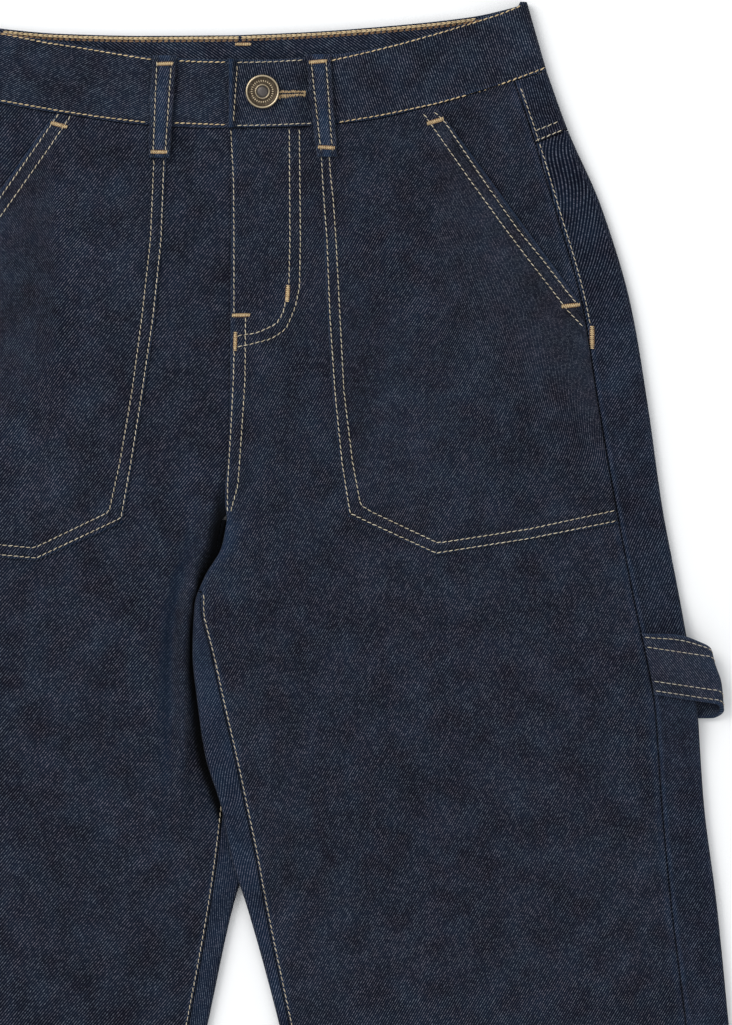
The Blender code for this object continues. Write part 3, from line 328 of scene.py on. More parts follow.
# Rows of stitches as they run on the photograph, in its pixels. Some run on past its edge.
StitchRow = namedtuple("StitchRow", "group tone pixels")
STITCH_ROWS = (
    StitchRow("overlap", 0.45, ((237, 63), (270, 62.5), (303, 60.5))),
    StitchRow("waist", 0.80, ((331, 61), (366, 53), (400, 44.5), (441, 33), (474, 23), (499, 15), (521, 6))),
    StitchRow("overlap", 0.50, ((237, 126), (270, 125.5), (312, 123.5))),
    StitchRow("waist", 0.80, ((339, 122.5), (383, 115), (433, 104.5), (482, 91), (516, 79), (545, 68))),
    StitchRow("overlap", 0.40, ((237.5, 66), (235.5, 94), (233.5, 122))),
    StitchRow("waist", 0.75, ((-50, 20), (-20, 28), (2, 34), (46, 43), (80, 48), (115, 54), (152, 60))),
    StitchRow("waist", 0.85, ((179, 61), (200, 62), (226, 62.5))),
    StitchRow("waist", 0.75, ((-68, 86), (-30, 95), (3, 101), (60, 111), (100, 117), (146, 122.5))),
    StitchRow("waist", 0.85, ((174, 123), (200, 124), (226, 125))),
    StitchRow("fly", 0.55, ((231, 130), (233.6, 180), (234, 240), (234, 313))),
    StitchRow("fly", 0.60, ((289.4, 129), (290, 240), (289, 282), (283.6, 312), (276.6, 324), (257, 333), (237, 336))),
    StitchRow("fly", 0.60, ((299.4, 129), (300.4, 240), (299.5, 287), (295, 308), (286, 329), (271, 339),
                            (247, 345), (237, 347))),
    StitchRow("fly", 0.55, ((234.6, 333), (233.4, 380), (231, 427), (227.6, 485), (227.4, 512))),
    StitchRow("fly", 0.55, ((245.6, 317), (245, 380), (242, 427), (238, 485), (230.5, 512))),
    StitchRow("pockets", 0.60, ((321.4, 156), (322.4, 175), (323.9, 199), (327, 240), (330, 317), (335, 392), (342, 462), (350, 513),
                                (366, 521), (436, 553), (529, 538.5), (616, 521))),
    StitchRow("pockets", 0.55, ((329.2, 156), (330.6, 176), (333.2, 199), (336, 240), (340, 317), (344, 392), (352.5, 462), (360.6, 505),
                                (372, 512), (438, 543), (529, 529), (615, 510.5))),
    StitchRow("pockets", 0.60, ((434, 112), (444, 121), (481, 177), (518, 230), (542, 259), (567, 292), (576, 303))),
    StitchRow("pockets", 0.60, ((423.5, 114), (432, 126), (467, 176), (502, 224.5), (528, 259), (555, 294),
                                (567, 310), (583, 327))),
    StitchRow("pockets", 0.60, ((164, 160), (161, 240), (153, 317), (142, 392), (131, 462), (121, 518), (36, 558),
                                (-134, 542))),
    StitchRow("pockets", 0.55, ((154, 160), (150.5, 240), (142, 317), (132, 392), (120, 462), (109, 512),
                                (34, 548), (-133, 532))),
    StitchRow("pockets", 0.60, ((59, 114), (35, 149), (3, 194), (-40, 254), (-84, 315))),
    StitchRow("pockets", 0.60, ((71, 116), (48, 150), (3, 213), (-40, 273), (-78, 328), (-92, 340))),
)

BarTack = namedtuple("BarTack", "start end width")
BAR_TACKS = (
    BarTack((232, 315.5), (250, 315), 3.4),
    BarTack((235.5, 332), (235, 351), 3.4),
    BarTack((288.2, 285), (287, 302), 4.0),
    BarTack((427, 124), (443.5, 119), 3.8),
    BarTack((561.5, 306.6), (580, 304.7), 3.8),
    BarTack((51, 123), (67.5, 127.5), 3.8),
    BarTack((-102, 321), (-84, 323), 3.8),
    BarTack((592, 326), (592, 349), 4.4),
    BarTack((-112, 326), (-112, 349), 4.4),
    BarTack((157.5, 64.5), (173.5, 64), 3.4),
    BarTack((151, 152.3), (167.5, 152.6), 3.4),
    BarTack((309, 63), (327, 61.5), 3.4),
    BarTack((318, 147.5), (335, 148.5), 3.4),
    BarTack((235, 44), (251, 44), 3.0),
)
BUTTONHOLE = ((277, 94.5), (305, 93.5))
BUTTONHOLE_HALF = 0.0015
STITCH_RADIUS = (0.35, 0.95, 1.0, 0.95, 0.35)  # shares of the thread's own, from end to end
STITCH_RISE = (-0.5, 0.55, 0.8, 0.55, -0.5)  # of the thread's radius, above the cloth
STITCH_SIDES = 6
STITCH_LEAN = 0.15


STRIP_SHARES = (0.0, 0.02, 0.05, 0.10, 0.17, 0.27, 0.40, 0.55, 0.70, 0.85, 0.97)
WRAP_END_Y = 0.1575  # down to here the left front's own cloth turns over the fold at the crotch
WRAP_DEEPENS = 0.010
# How far the painted shade in the gap between the legs at the crotch reaches from the left leg's edge: (y, width).
CROTCH_SHADE_WIDTH = ((0.232, 0.0000), (0.222, 0.0012), (0.208, 0.0036), (0.197, 0.0060), (0.187, 0.0074),
              (0.176, 0.0072), (0.166, 0.0042), (0.158, 0.0017), (0.150, 0.0010), (0.143, 0.0018),
              (0.133, 0.0024), (0.110, 0.0030), (0.080, 0.0052), (0.055, 0.0046), (0.030, 0.0016), (0.000, 0.0000))


def place(pixel):
    """Where a pixel of the photograph lies, across and along the jeans."""
    return (pixel[0] - PHOTO_ZERO[0]) * PIXEL, (PHOTO_ZERO[1] - pixel[1]) * PIXEL


class Curve:
    """A smooth line through (place, value) points that doesn't overshoot and runs straight past its ends."""

    def __init__(self, points):
        ordered = np.array(sorted(points), float)
        self.places, self.values = ordered[:, 0], ordered[:, 1]
        slopes = np.diff(self.values) / np.diff(self.places)
        tangents = [slopes[0]]
        for before, after in zip(slopes, slopes[1:]):
            tangents.append(0.0 if before * after <= 0 else 2 * before * after / (before + after))
        tangents.append(slopes[-1])
        self.tangents = np.array(tangents)

    def __call__(self, at):
        at = np.asarray(at, float)
        i = np.clip(np.searchsorted(self.places, at, side="right") - 1, 0, len(self.places) - 2)
        width = self.places[i + 1] - self.places[i]
        t = np.clip((at - self.places[i]) / width, 0.0, 1.0)
        smooth = ((1 + 2 * t) * (1 - t) ** 2 * self.values[i] + t * (1 - t) ** 2 * width * self.tangents[i]
                  + t * t * (3 - 2 * t) * self.values[i + 1] - t * t * (1 - t) * width * self.tangents[i + 1])
        before = self.tangents[0] * np.minimum(at - self.places[0], 0.0)
        return smooth + before + self.tangents[-1] * np.maximum(at - self.places[-1], 0.0)


def straight(points):
    """A line of straight stretches through (x, y) points, for an edge with corners."""
    ordered = np.array(sorted(points), float)
    return lambda at: np.interp(at, ordered[:, 0], ordered[:, 1])


def step_up(value, start, end):
    t = np.clip((value - start) / (end - start), 0.0, 1.0)
    return t * t * (3 - 2 * t)


def hump(distance, before, after):
    """A rounded bump of height 1 at 0 that ends at -before and at after."""
    t = np.clip(np.abs(distance) / np.where(distance < 0, before, after), 0.0, 1.0)
    return np.cos(math.pi / 2 * t) ** 2


def bell(distance, width):
    return np.exp(-(distance / width) ** 2)


def rolled(distance, depth=EDGE_DEPTH, radius=EDGE_RADIUS):
    """How far a turned edge curves down, at a distance in from it."""
    t = 1 - np.clip(distance / radius, 0.0, 1.0)
    return -depth * (1 - np.sqrt(1 - t * t))


def unevenness(u, v, seed):
    """Smooth values from -1 to 1 over a plane, that look random and are the same in each run."""
    across, along = np.floor(u), np.floor(v)
    blend_u, blend_v = u - across, v - along
    blend_u = blend_u * blend_u * (3 - 2 * blend_u)
    blend_v = blend_v * blend_v * (3 - 2 * blend_v)

    def corner(a, b):
        mixed = np.sin(a * 127.1 + b * 311.7 + seed * 74.7) * 43758.5453
        return 2 * (mixed - np.floor(mixed)) - 1

    low = corner(across, along) * (1 - blend_u) + corner(across + 1, along) * blend_u
    high = corner(across, along + 1) * (1 - blend_u) + corner(across + 1, along + 1) * blend_u
    return low * (1 - blend_v) + high * blend_v


outer_edge = Curve([(row.y, row.outer) for row in LEG_ROWS])
outseam_line = Curve([(row.y, row.outseam) for row in LEG_ROWS])
inner_edge = {side: Curve([(row.y, row.inner) for row in rows]) for side, rows in INSIDE_ROWS.items()}
inseam_line = {side: Curve([(row.y, row.inseam) for row in rows]) for side, rows in INSIDE_ROWS.items()}
front_seam = Curve(FRONT_SEAM)
back_seam = Curve(BACK_SEAM)
ridge_crest = Curve(RIDGE_CREST)
ridge_share = Curve(RIDGE_SHARE)
crotch_shade_width = straight(CROTCH_SHADE_WIDTH)
loop_profile = Curve(LOOP_PROFILE)
hammer_bend = Curve(HAMMER_BEND)
WAIST_LINES = ("front_top", "front_seam", "back_top", "back_seam")
waist = {side: {line: Curve(getattr(edges, line)) for line in WAIST_LINES} for side, edges in WAIST.items()}


def fold_height(fold, x, y):
    """The height of one fold, from the nearest point of the path that it follows."""
    best = np.full(np.shape(x), np.inf)
    sides = np.zeros(np.shape(x))
    shares = np.zeros(np.shape(x))
    for (x0, y0, share0), (x1, y1, share1) in zip(fold.path, fold.path[1:]):
        along_x, along_y = x1 - x0, y1 - y0
        t = np.clip(((x - x0) * along_x + (y - y0) * along_y) / (along_x ** 2 + along_y ** 2), 0.0, 1.0)
        away_x, away_y = x - x0 - t * along_x, y - y0 - t * along_y
        far = np.hypot(away_x, away_y)
        nearer = far < best
        best = np.where(nearer, far, best)
        sides = np.where(nearer, np.where(along_x * away_y - along_y * away_x > 0, 1, -1), sides)
        shares = np.where(nearer, share0 + (share1 - share0) * t, shares)
    return fold.height * shares * hump(best * sides, fold.before, fold.after)


def fly_width(y):
    """How far the fly, and the lapped seam below it, reach from the front seam."""
    t = np.clip((y - FLY_FOOT_Y) / (FLY_STRAIGHT_Y - FLY_FOOT_Y), 0.0, 1.0)
    return LAP_WIDTH + (FLY_WIDTH - LAP_WIDTH) * np.sqrt(1 - (1 - t) ** 2)


def back_rise(x, y):
    lifted = step_up(y, RISE_START_Y, RISE_END_Y)
    return BACK_RISE * lifted * (1 - step_up(np.abs(x), BACK_RISE_HALF, BACK_RISE_END))


def lower_face(side, x, y):
    """The height of the lower wall's outer face above the floor."""
    rise = back_rise(x, y)
    if side == "right":
        return rise
    along = step_up(y, OVERLAP_GONE_Y, OVERLAP_LAST_Y) * (1 - step_up(y, OVERLAP_FULL_Y, CROTCH_Y))
    under = inner_edge["right"](np.minimum(y, CROTCH_Y)) + 0.001
    lift = OVERLAP_LIFT * along * (1 - step_up(x, under, under + OVERLAP_RAMP))
    prop_y = HAMMER_TOP_Y - HAMMER_SLANT / 2 - HAMMER_WIDTH / 2
    beside = 1 - step_up(np.abs(y - prop_y), HAMMER_WIDTH / 2 + 0.006, HAMMER_WIDTH / 2 + 0.026)
    prop = HAMMER_PROP * beside * step_up(x, HAMMER_BACK_X - 0.040, HAMMER_BACK_X - 0.012)
    return rise + lift + prop


def upper_face(side, x, y):
    """The height of the upper wall's outer face above the floor, with its folds and small creases."""
    sign = SIGN[side]
    waistward = step_up(y, RISE_START_Y, RISE_END_Y)
    height = lower_face(side, x, y) - back_rise(x, y)
    height = height + LAID_HEIGHT + (WAIST_HEIGHT - LAID_HEIGHT) * waistward
    height = height + (HEM_CLOTH - CLOTH) * 1.2 * (1 - step_up(y, HEM_Y + 0.8 * HEM_DEPTH, HEM_Y + 1.6 * HEM_DEPTH))
    edge = outer_edge(y) - sign * x
    height = height + EDGE_FULLNESS * hump(edge - 0.012, EDGE_FULLNESS_WIDTH, EDGE_FULLNESS_WIDTH)
    if side == "left":
        from_seam = x - front_seam(y)
        lap = 1 - step_up(from_seam, fly_width(y) - 0.001, fly_width(y) + 0.005)
        height = height + LAP_STEP * lap * step_up(y, CROTCH_Y, LAP_END_Y)
    else:
        share = np.where((y > 0.030) & (y < 0.208), np.maximum(ridge_share(y), 0.0), 0.0)
        height = height + RIDGE_HEIGHT * share * hump(x - ridge_crest(y), RIDGE_BEFORE, RIDGE_AFTER)
    away_from_waist = np.where((y < 0.385) | (np.abs(x) > 0.06), 1.0, 0.0)
    for fold in FOLDS + CREASES:
        if fold.side == side:
            height = height + away_from_waist * fold_height(fold, x, y)
    near_edge = step_up(edge, 0.0, 0.012)
    waves = 0.00022 * unevenness(x / 0.021, y / 0.027, 3) + 0.00012 * unevenness(x / 0.0075, y / 0.0105, 8)
    return height + waves * near_edge


def folded_edge(side, edge, sign, y):
    """Half the height of the cloth where it turns over, and the height of the middle of the turn."""
    x = edge + sign * LAID_HEIGHT / 2
    low, high = lower_face(side, x, y), upper_face(side, x, y)
    return (high - low) / 2, (high + low) / 2


def inseam_x(side, y):
    """Where the front meets the back along the inside leg, on the upper face past the turn of the cloth."""
    sign = SIGN[side]
    edge = inner_edge[side](y)
    radius, _ = folded_edge(side, edge, sign, y)
    return sign * np.maximum(sign * inseam_line[side](y), sign * edge + radius + 0.0002)


def front_inner_x(side, y):
    sign = SIGN[side]
    leg = inseam_x(side, np.minimum(y, CROTCH_Y)) + sign * SEAM_GAP / 2
    if side == "left":
        body = front_seam(y)
    else:
        body = front_seam(y) - SEAM_GAP + UNDER_LAP * step_up(y, LAP_END_Y, LAP_END_Y + 0.012)
    return np.where(y > CROTCH_Y + 1e-6, body, leg)


def spread(near_start, middle, near_end):
    """Columns as (share of the way, distance in from the start): close together near both edges."""
    start, end = near_start[-1], near_end[-1]
    first = [(0.0, distance) for distance in near_start]
    inner = [(t, start * (1 - t) - end * t) for t in np.linspace(0, 1, middle + 2)[1:-1]]
    return np.array(first + inner + [(1.0, -distance) for distance in near_end[::-1]])


def between_edges(columns, start, end):
    """x of each column between two edges. start and end have a value for each row and column."""
    direction = np.sign(end - start)
    return start + columns[:, 0] * (end - start) + direction * columns[:, 1]


NEAR_EDGE = (0.0, 0.00012, 0.0003, 0.0006, 0.0010, 0.0015, 0.0022, 0.0032, 0.0045, 0.0062)
NEAR_SEAM = (0.0, 0.00015, 0.0004, 0.0008, 0.0013, 0.0020, 0.0030, 0.0042)


def levels(*bands):
    """Heights of rows from the top down. Each band is (start, end, steps)."""
    found = [bands[0][0]]
    for start, end, steps in bands:
        found.extend(np.linspace(start, end, steps + 1)[1:])
    return np.array(found)


LEG_LEVELS = ((CROTCH_Y, -0.060, 104), (-0.060, HEM_Y + HEM_DEPTH, 84), (HEM_Y + HEM_DEPTH, HEM_Y, 8))


def cloth_run(points, direction=1, anchor=None):
    """How far along each row of points the cloth has run, over its folds and round its edges. It is x at the
    row's anchor, where the cloth lies flat, so that the weave doesn't stretch on slopes."""
    steps = np.diff(points, axis=1)
    length = np.nan_to_num(np.sqrt((steps ** 2).sum(-1)))
    run = np.concatenate([np.zeros((len(points), 1)), np.cumsum(length, 1)], 1)
    at = points.shape[1] // 2 if anchor is None else anchor
    facing = direction * np.sign(steps[len(points) // 2, at, 0])
    return facing * points[:, at:at + 1, 0] + direction * (run - run[:, at:at + 1])


def cloth_object(name, points, flip, thickness, fade, shade, run):
    """A shell of cloth through rows of points. NaN points are cut away. At each point the worn tint makes it paler and
    bluer where the cloth is worn and, in the valley beside the crotch's ridge, colours painted shade; shade darkens it
    as painted shade; and run is how far across the weave the point lies."""
    rows, columns = points.shape[:2]
    keep = ~np.isnan(points[..., 0])
    index = np.full((rows, columns), -1)
    index[keep] = np.arange(keep.sum())
    quads = np.stack([index[:-1, :-1], index[1:, :-1], index[1:, 1:], index[:-1, 1:]], -1).reshape(-1, 4)
    quads = quads[(quads >= 0).all(1)]
    if flip:
        quads = quads[:, ::-1]
    mesh = bpy.data.meshes.new(name)
    mesh.from_pydata(points[keep].tolist(), [], quads.tolist())
    mesh.shade_smooth()
    for tint, values in (("fade", fade), ("shade", shade), ("run", run)):
        attribute = mesh.attributes.new(tint, "FLOAT", "POINT")
        attribute.data.foreach_set("value", np.broadcast_to(values, keep.shape)[keep].astype(np.float32))
    made = bpy.data.objects.new(name, mesh)
    bpy.context.scene.collection.objects.link(made)
    wall = made.modifiers.new("cloth", "SOLIDIFY")
    wall.thickness = thickness
    wall.offset = -1
    return made


def thicken_hem(made):
    """Makes the wall HEM_CLOTH thick along the turned-up hem."""
    group = made.vertex_groups.new(name="hem")
    group.add([v.index for v in made.data.vertices if v.co.y < HEM_Y + HEM_DEPTH], 1.0, "REPLACE")
    wall = made.modifiers["cloth"]
    wall.thickness = HEM_CLOTH
    wall.vertex_group = "hem"
    wall.thickness_vertex_group = CLOTH / HEM_CLOTH


def dress(piece, finishes, slot, *nodes):
    """Gives a finished piece its materials and its body and hides the solids that it stands for. slot is not used."""
    for finish in finishes:
        piece.data.materials.append(finish)
    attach(piece, "root")
    if nodes:
        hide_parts(*nodes)
    return piece


def hem_relief(x, y):
    """The roped, slightly slanted puckers of a turned-up hem, and the groove of its stitches."""
    in_hem = 1 - step_up(y, HEM_Y + HEM_DEPTH, HEM_Y + HEM_DEPTH + 0.004)
    ropes = 0.00030 * np.sin((x + 0.8 * (y - HEM_Y)) / 0.0105 * 2 * math.pi + 2 * unevenness(x / 0.03, y * 0, 5))
    return in_hem * ropes - 0.0003 * bell(y - HEM_Y - 0.0112, 0.0012)


def front_points(side):
    sign = SIGN[side]
    columns = spread(NEAR_EDGE, 0, (0.045,))[:-1]
    columns = np.vstack([columns, [(0.0, d) for d in np.arange(0.0078, 0.046, 0.00165)]])
    rest = spread((0.0470,), 64, NEAR_SEAM)
    columns = np.vstack([columns, rest])
    level = levels((WAIST_LEVEL, 0.225, 68), (0.225, CROTCH_Y, 14), *LEG_LEVELS)[:, None]
    bend = step_up(level, ROWS_LEVEL_BELOW, WAIST_LEVEL)
    top = waist[side]["front_seam"]
    y = np.repeat(level, len(columns), axis=1)
    for _ in range(8):
        outer = sign * outseam_line(y) - sign * SEAM_GAP / 2
        inner = front_inner_x(side, np.where(level > CROTCH_Y + 1e-6, np.maximum(y, CROTCH_Y + 2e-6), y))
        wraps = (side == "left") & (level <= CROTCH_Y + 1e-6) & (level > WRAP_END_Y)
        inner = np.where(wraps, inner_edge[side](np.minimum(y, CROTCH_Y)), inner)
        x = between_edges(columns, inner, outer)
        y = level + (top(x) - SEAM_GAP - WAIST_LEVEL) * bend
    from_inner = sign * (x - inner)
    from_outer = sign * (outer - x)
    z = upper_face(side, x, y) + rolled(from_outer, 0.0003, 0.0009)
    z = z + 0.00018 * unevenness(y / 0.0055, from_outer * 0, 11) * bell(from_outer, 0.005)
    above = y > CROTCH_Y
    if side == "left":
        z = z + np.where(above, rolled(from_inner, 0.0010), 0.0)
        facing = fly_width(y) - from_inner
        z = z + np.where(above, 0.00025 * bell(facing - 0.0015, 0.0016), 0.0)
        radius, _ = folded_edge(side, inner, 1, y)
        short = radius - np.clip(from_inner, 0.0, radius)
        drop = radius - np.sqrt(np.maximum(radius ** 2 - short ** 2, 0.0))
        z = z - np.where(wraps, drop * step_up(CROTCH_Y - y, 0.0, WRAP_DEEPENS), 0.0)
    leg_seam = 1 - step_up(y, 0.140, 0.158)
    z = z + np.where(above, 0.0, leg_seam * rolled(from_inner, 0.0006))
    z = z + np.where(above, 0.0, leg_seam * 0.0002 * unevenness(y / 0.0055, y * 0, 17) * bell(from_inner, 0.005))
    z = z + hem_relief(x, y)
    fade = 0.35 * bell(from_outer - 0.0018, 0.0018) + 0.5 * bell(from_inner - 0.0010, 0.0016)
    shade = 0.20 * bell(from_outer, 0.0006)
    if side == "left":
        fade = fade + 0.9 * bell(y - 0.182, 0.012) * bell(from_inner - 0.0025, 0.0040)
    else:
        # Painted shade on the right front's ridge at the crotch: dark past its crest, where the cloth falls into shade.
        crest = x - ridge_crest(y)
        share = np.where((y > 0.030) & (y < 0.208), np.maximum(ridge_share(y), 0.0), 0.0)
        shade = shade + share * step_up(crest, 0.0016, 0.0042) * (1 - step_up(crest, 0.020, 0.030))
        # Painted shade in the trough beside the crest; the paler worn tint added with it paints that shade a dark,
        # speckless blue.
        valley_shade = share * bell(crest + RIDGE_VALLEY, 0.0032)
        shade = shade + 0.80 * valley_shade
        fade = fade + 1.0 * valley_shade
        # Near-black painted shade in the gap between the legs at the crotch, where the cloth lies in shade; it eases
        # off above the crotch.
        lap = np.where(y > CROTCH_Y, front_seam(y), inner_edge["left"](np.minimum(y, CROTCH_Y)))
        width = np.maximum(crotch_shade_width(y), 0.0002)
        depth = 0.97 * (1 - 0.75 * step_up(y, 0.192, 0.222))
        shade = np.maximum(shade * 0.5, depth * (1 - step_up((lap - x) / width, 0.55, 1.5)))
    return np.stack([x, y, z], -1), np.clip(fade, 0, 1), np.clip(shade, 0, 1)


def crotch_edge_shade(y):
    """How strongly painted shade darkens the legs' inner edges in the gap at the crotch, where they lie in shade."""
    return 0.95 * step_up(y, 0.158, 0.166)


def back_points(side, rows_y, with_inner):
    """The back panel's rows. rows_y gives y for a row and column from x there; it may slope across."""
    sign = SIGN[side]
    arc, strip_out = 9, spread((0.0,), 8, NEAR_SEAM)
    bottom_shares = np.concatenate([[0.0], np.linspace(0.02, 0.98, 26), [1.0]])
    parts = [("in", c) for c in STRIP_SHARES] + [("in_arc", t) for t in np.linspace(90, -90, arc + 2)[1:-1]]
    parts += [("bottom", t) for t in bottom_shares]
    parts += [("out_arc", t) for t in np.linspace(-90, 90, arc + 2)[1:-1]] + [("out", c) for c in strip_out]
    grid = []
    for kind, at in parts:
        column = rows_y(kind, at, None)
        y = column
        for _ in range(8):
            x, z, tint = back_place(side, sign, kind, at, y, with_inner)
            y = rows_y(kind, at, x)
        cut = (kind in ("in", "in_arc")) & ~with_inner
        if side == "left" and (kind == "in" or kind == "in_arc" and at > 0):
            cut = cut | (y > WRAP_END_Y)
        tints = [value * np.ones_like(y) for value in tint]
        grid.append(np.stack([np.where(cut, np.nan, x), y, z, *tints], -1))
    grid = np.stack(grid, 1)
    return grid[..., :3], grid[..., 3], grid[..., 4]


def back_place(side, sign, kind, at, y, with_inner):
    """x, z and (fade, shade) of one column of a back panel, at heights y."""
    y = np.asarray(y, float)
    leg_y = np.minimum(y, CROTCH_Y)
    inner = inner_edge[side](leg_y)
    radius_in, middle_in = folded_edge(side, inner, sign, leg_y)
    outer = sign * outer_edge(y)
    radius_out, middle_out = folded_edge(side, outer, -sign, y)
    bottom_end = outer - sign * radius_out
    bottom_start = np.where(with_inner, inner + sign * radius_in, back_seam(y) + sign * SEAM_GAP / 2)
    no_tint = (0.0, 0.0)
    if kind == "in":
        seam = inseam_x(side, leg_y) - sign * SEAM_GAP / 2
        turn = inner + sign * radius_in
        x = seam + at * (turn - seam)
        leg_seam = 1 - step_up(y, 0.140, 0.158)
        from_seam = sign * (seam - x)
        z = upper_face(side, x, y) + leg_seam * rolled(from_seam, 0.0006)
        return x, z, (0.45, np.maximum(0.25 * bell(from_seam, 0.0008), crotch_edge_shade(y)))
    if kind == "in_arc":
        turn = math.radians(at)
        x = inner + sign * radius_in * (1 - math.cos(turn))
        return x, middle_in + radius_in * math.sin(turn), (0.45 * max(0.0, math.sin(turn)), crotch_edge_shade(y))
    if kind == "bottom":
        x = bottom_start + at * (bottom_end - bottom_start)
        return x, lower_face(side, x, y), no_tint
    if kind == "out_arc":
        turn = math.radians(at)
        x = bottom_end + sign * radius_out * math.cos(turn)
        return x, middle_out + radius_out * math.sin(turn), (0.15 * max(0.0, math.sin(turn)), 0.0)
    seam = sign * outseam_line(y) + sign * SEAM_GAP / 2
    x = bottom_end + at[0] * (seam - bottom_end) - sign * at[1]
    from_seam = sign * (x - seam)
    z = upper_face(side, x, y) + rolled(from_seam, 0.0003, 0.0009)
    z = z + 0.00040 * bell(from_seam - 0.0017, 0.0012) - 0.00015 * bell(from_seam - 0.0048, 0.0012)
    z = z + 0.00018 * unevenness(y / 0.0055, y * 0, 13) * bell(from_seam - 0.001, 0.004)
    fade = 0.5 * bell(from_seam - 0.0013, 0.0009)
    return x, z + hem_relief(x, y), (fade, 0.20 * bell(from_seam, 0.0004) + 0.12 * bell(from_seam - 0.0040, 0.0010))


def seam_heights(side):
    """The waist seam and the yoke seam, each as (on the front face, at the side fold, on the back)."""
    waist_lines = (waist[side]["front_seam"], WAIST[side].front_seam[-1][1], waist[side]["back_seam"])
    (x0, y0), (x1, y1) = YOKE_FRONT[side]
    sign = SIGN[side]
    yoke_lines = (lambda x: y0 + (y1 - y0) * (x - x0) / (x1 - x0), y1,
                  lambda x: YOKE_MIDDLE_Y + (y1 - YOKE_MIDDLE_Y) * np.clip(sign * x / abs(x1), 0.0, 1.0))
    return waist_lines, yoke_lines


def seam_at(kind, x, lines):
    on_front, at_fold, on_back = lines
    if kind == "bottom":
        return on_back(x)
    return on_front(x) if kind == "out" else at_fold


BACK_ANCHOR = len(STRIP_SHARES) + 9 + 14  # the column in the middle of the underside


def back_cloth(side):
    _, yoke_line = seam_heights(side)
    level = levels((YOKE_MIDDLE_Y, CROTCH_Y, 60), *LEG_LEVELS)
    with_inner = level <= CROTCH_Y + 1e-6
    bend = step_up(level, CROTCH_Y + 0.02, YOKE_MIDDLE_Y)

    def rows_y(kind, at, x):
        if x is None:
            return level.copy()
        return level + (seam_at(kind, x, yoke_line) - SEAM_GAP - YOKE_MIDDLE_Y) * bend

    points, fade, shade = back_points(side, rows_y, with_inner)
    return points, fade, shade


def yoke_cloth(side):
    waist_line, yoke_line = seam_heights(side)
    share = np.concatenate([[0.0, 0.02, 0.05], np.linspace(0.1, 0.9, 12), [0.95, 0.98, 1.0]])

    def rows_y(kind, at, x):
        if x is None:
            return np.full(share.shape, 0.390)
        top = seam_at(kind, x, waist_line) - SEAM_GAP
        foot = seam_at(kind, x, yoke_line) + SEAM_GAP / 2
        return top + (foot - top) * share

    points, fade, shade = back_points(side, rows_y, np.zeros(share.shape, bool))
    down = share[:, None]
    on_top = points[..., 2] > WAIST_HEIGHT / 2
    edge = rolled((1 - down) * 0.028, 0.0004) + 0.00035 * (1 - step_up(1 - down, 0.30, 0.36))
    points[..., 2] += np.where(on_top, edge, 0.0)
    return points, fade, shade + 0.4 * bell((1 - down) * 0.028, 0.0008)


def pocket_cloth(side):
    """A patch with turned edges, on the front's own face."""
    sign = SIGN[side]
    pocket = PATCH_POCKETS[side]
    inner_line, bottom_line = Curve(pocket.inner_edge), straight(pocket.bottom)
    (mx0, my0), (mx1, my1) = pocket.mouth
    mouth_slope = (my1 - my0) / (mx1 - mx0)
    mouth_across = 1 / math.hypot(1, mouth_slope)
    near_patch_edge = (0.0, 0.0001, 0.0003, 0.0006, 0.0010, 0.0014, 0.0019, 0.0026, 0.0036, 0.0047, 0.0056, 0.0062,
                       0.0070, 0.0080)
    columns = spread(near_patch_edge, 54, NEAR_SEAM)
    rows = spread(near_patch_edge, 76, near_patch_edge)
    waist_line = waist[side]["front_seam"]
    y = np.full((len(rows), len(columns)), 0.3)
    for _ in range(40):
        inner = inner_line(y)
        outer = sign * outseam_line(y) - sign * SEAM_GAP
        x = between_edges(columns, inner, outer)
        top = np.minimum(waist_line(x) - SEAM_GAP, my0 + mouth_slope * (x - mx0))
        foot = bottom_line(x)
        y = top + rows[:, :1] * (foot - top) - rows[:, 1:]
    from_inner = np.abs(x - inner)
    from_foot = (y - foot) * 0.92
    from_mouth = (my0 + mouth_slope * (x - mx0) - y) * mouth_across
    at_mouth = step_up(sign * x, abs(mx0) - 0.002, abs(mx0) + 0.008)
    past_end = 1 - step_up(sign * x, abs(mx1) - 0.016, abs(mx1))
    z = upper_face(side, x, y) + CLOTH + SEAM_GAP
    z = z + MOUTH_LIFT * (1 - step_up(from_mouth, 0.0, MOUTH_LIFT_WIDTH)) * at_mouth * past_end
    edge_depth = CLOTH
    z = z + rolled(from_inner, edge_depth) + rolled(from_foot, edge_depth)
    z = z + rolled(from_mouth, 0.0010) * at_mouth
    from_side = np.abs(outer - x)
    z = z + rolled(from_side, 0.0010)
    for distance in (from_inner, from_foot):
        for row in (0.0012, 0.0062):
            z = z - 0.00020 * bell(distance - row, 0.0006)
        z = z + 0.00016 * bell(distance - 0.0036, 0.0014)
    for row in (0.0030, 0.0078):
        z = z - 0.00020 * bell(from_mouth - row, 0.0006) * at_mouth
    z = z + 0.00020 * unevenness(y / 0.006, x * 0, 21) * bell(from_inner - 0.003, 0.005)
    z = z + 0.00020 * unevenness(x / 0.006, y * 0, 22) * bell(from_foot - 0.003, 0.005)
    z = z + 0.00022 * unevenness(x / 0.006, y / 0.006, 23) * bell(from_mouth - 0.003, 0.006) * at_mouth
    fade = 0.5 * bell(from_inner - 0.0004, 0.0009) + 0.5 * bell(from_foot - 0.0004, 0.0009)
    fade = fade + 0.9 * bell(from_mouth - 0.0004, 0.0011) * at_mouth
    shade = np.zeros(x.shape)
    for distance in (from_inner, from_foot):
        shade = shade + 0.35 * bell(distance - 0.0018, 0.0006) + 0.30 * bell(distance - 0.0068, 0.0006)
    for row in (0.0036, 0.0084):
        shade = shade + 0.30 * bell(from_mouth - row, 0.0006) * at_mouth
    points = np.stack([x, y, z], -1)
    return points, np.clip(fade, 0, 1), np.clip(shade, 0, 1)


# Beyond the first distance from the middle, the band's columns close up towards its side folds, and the
# second distance lies on the fold.
BAND_EASE, BAND_LAST = 0.125, 0.146


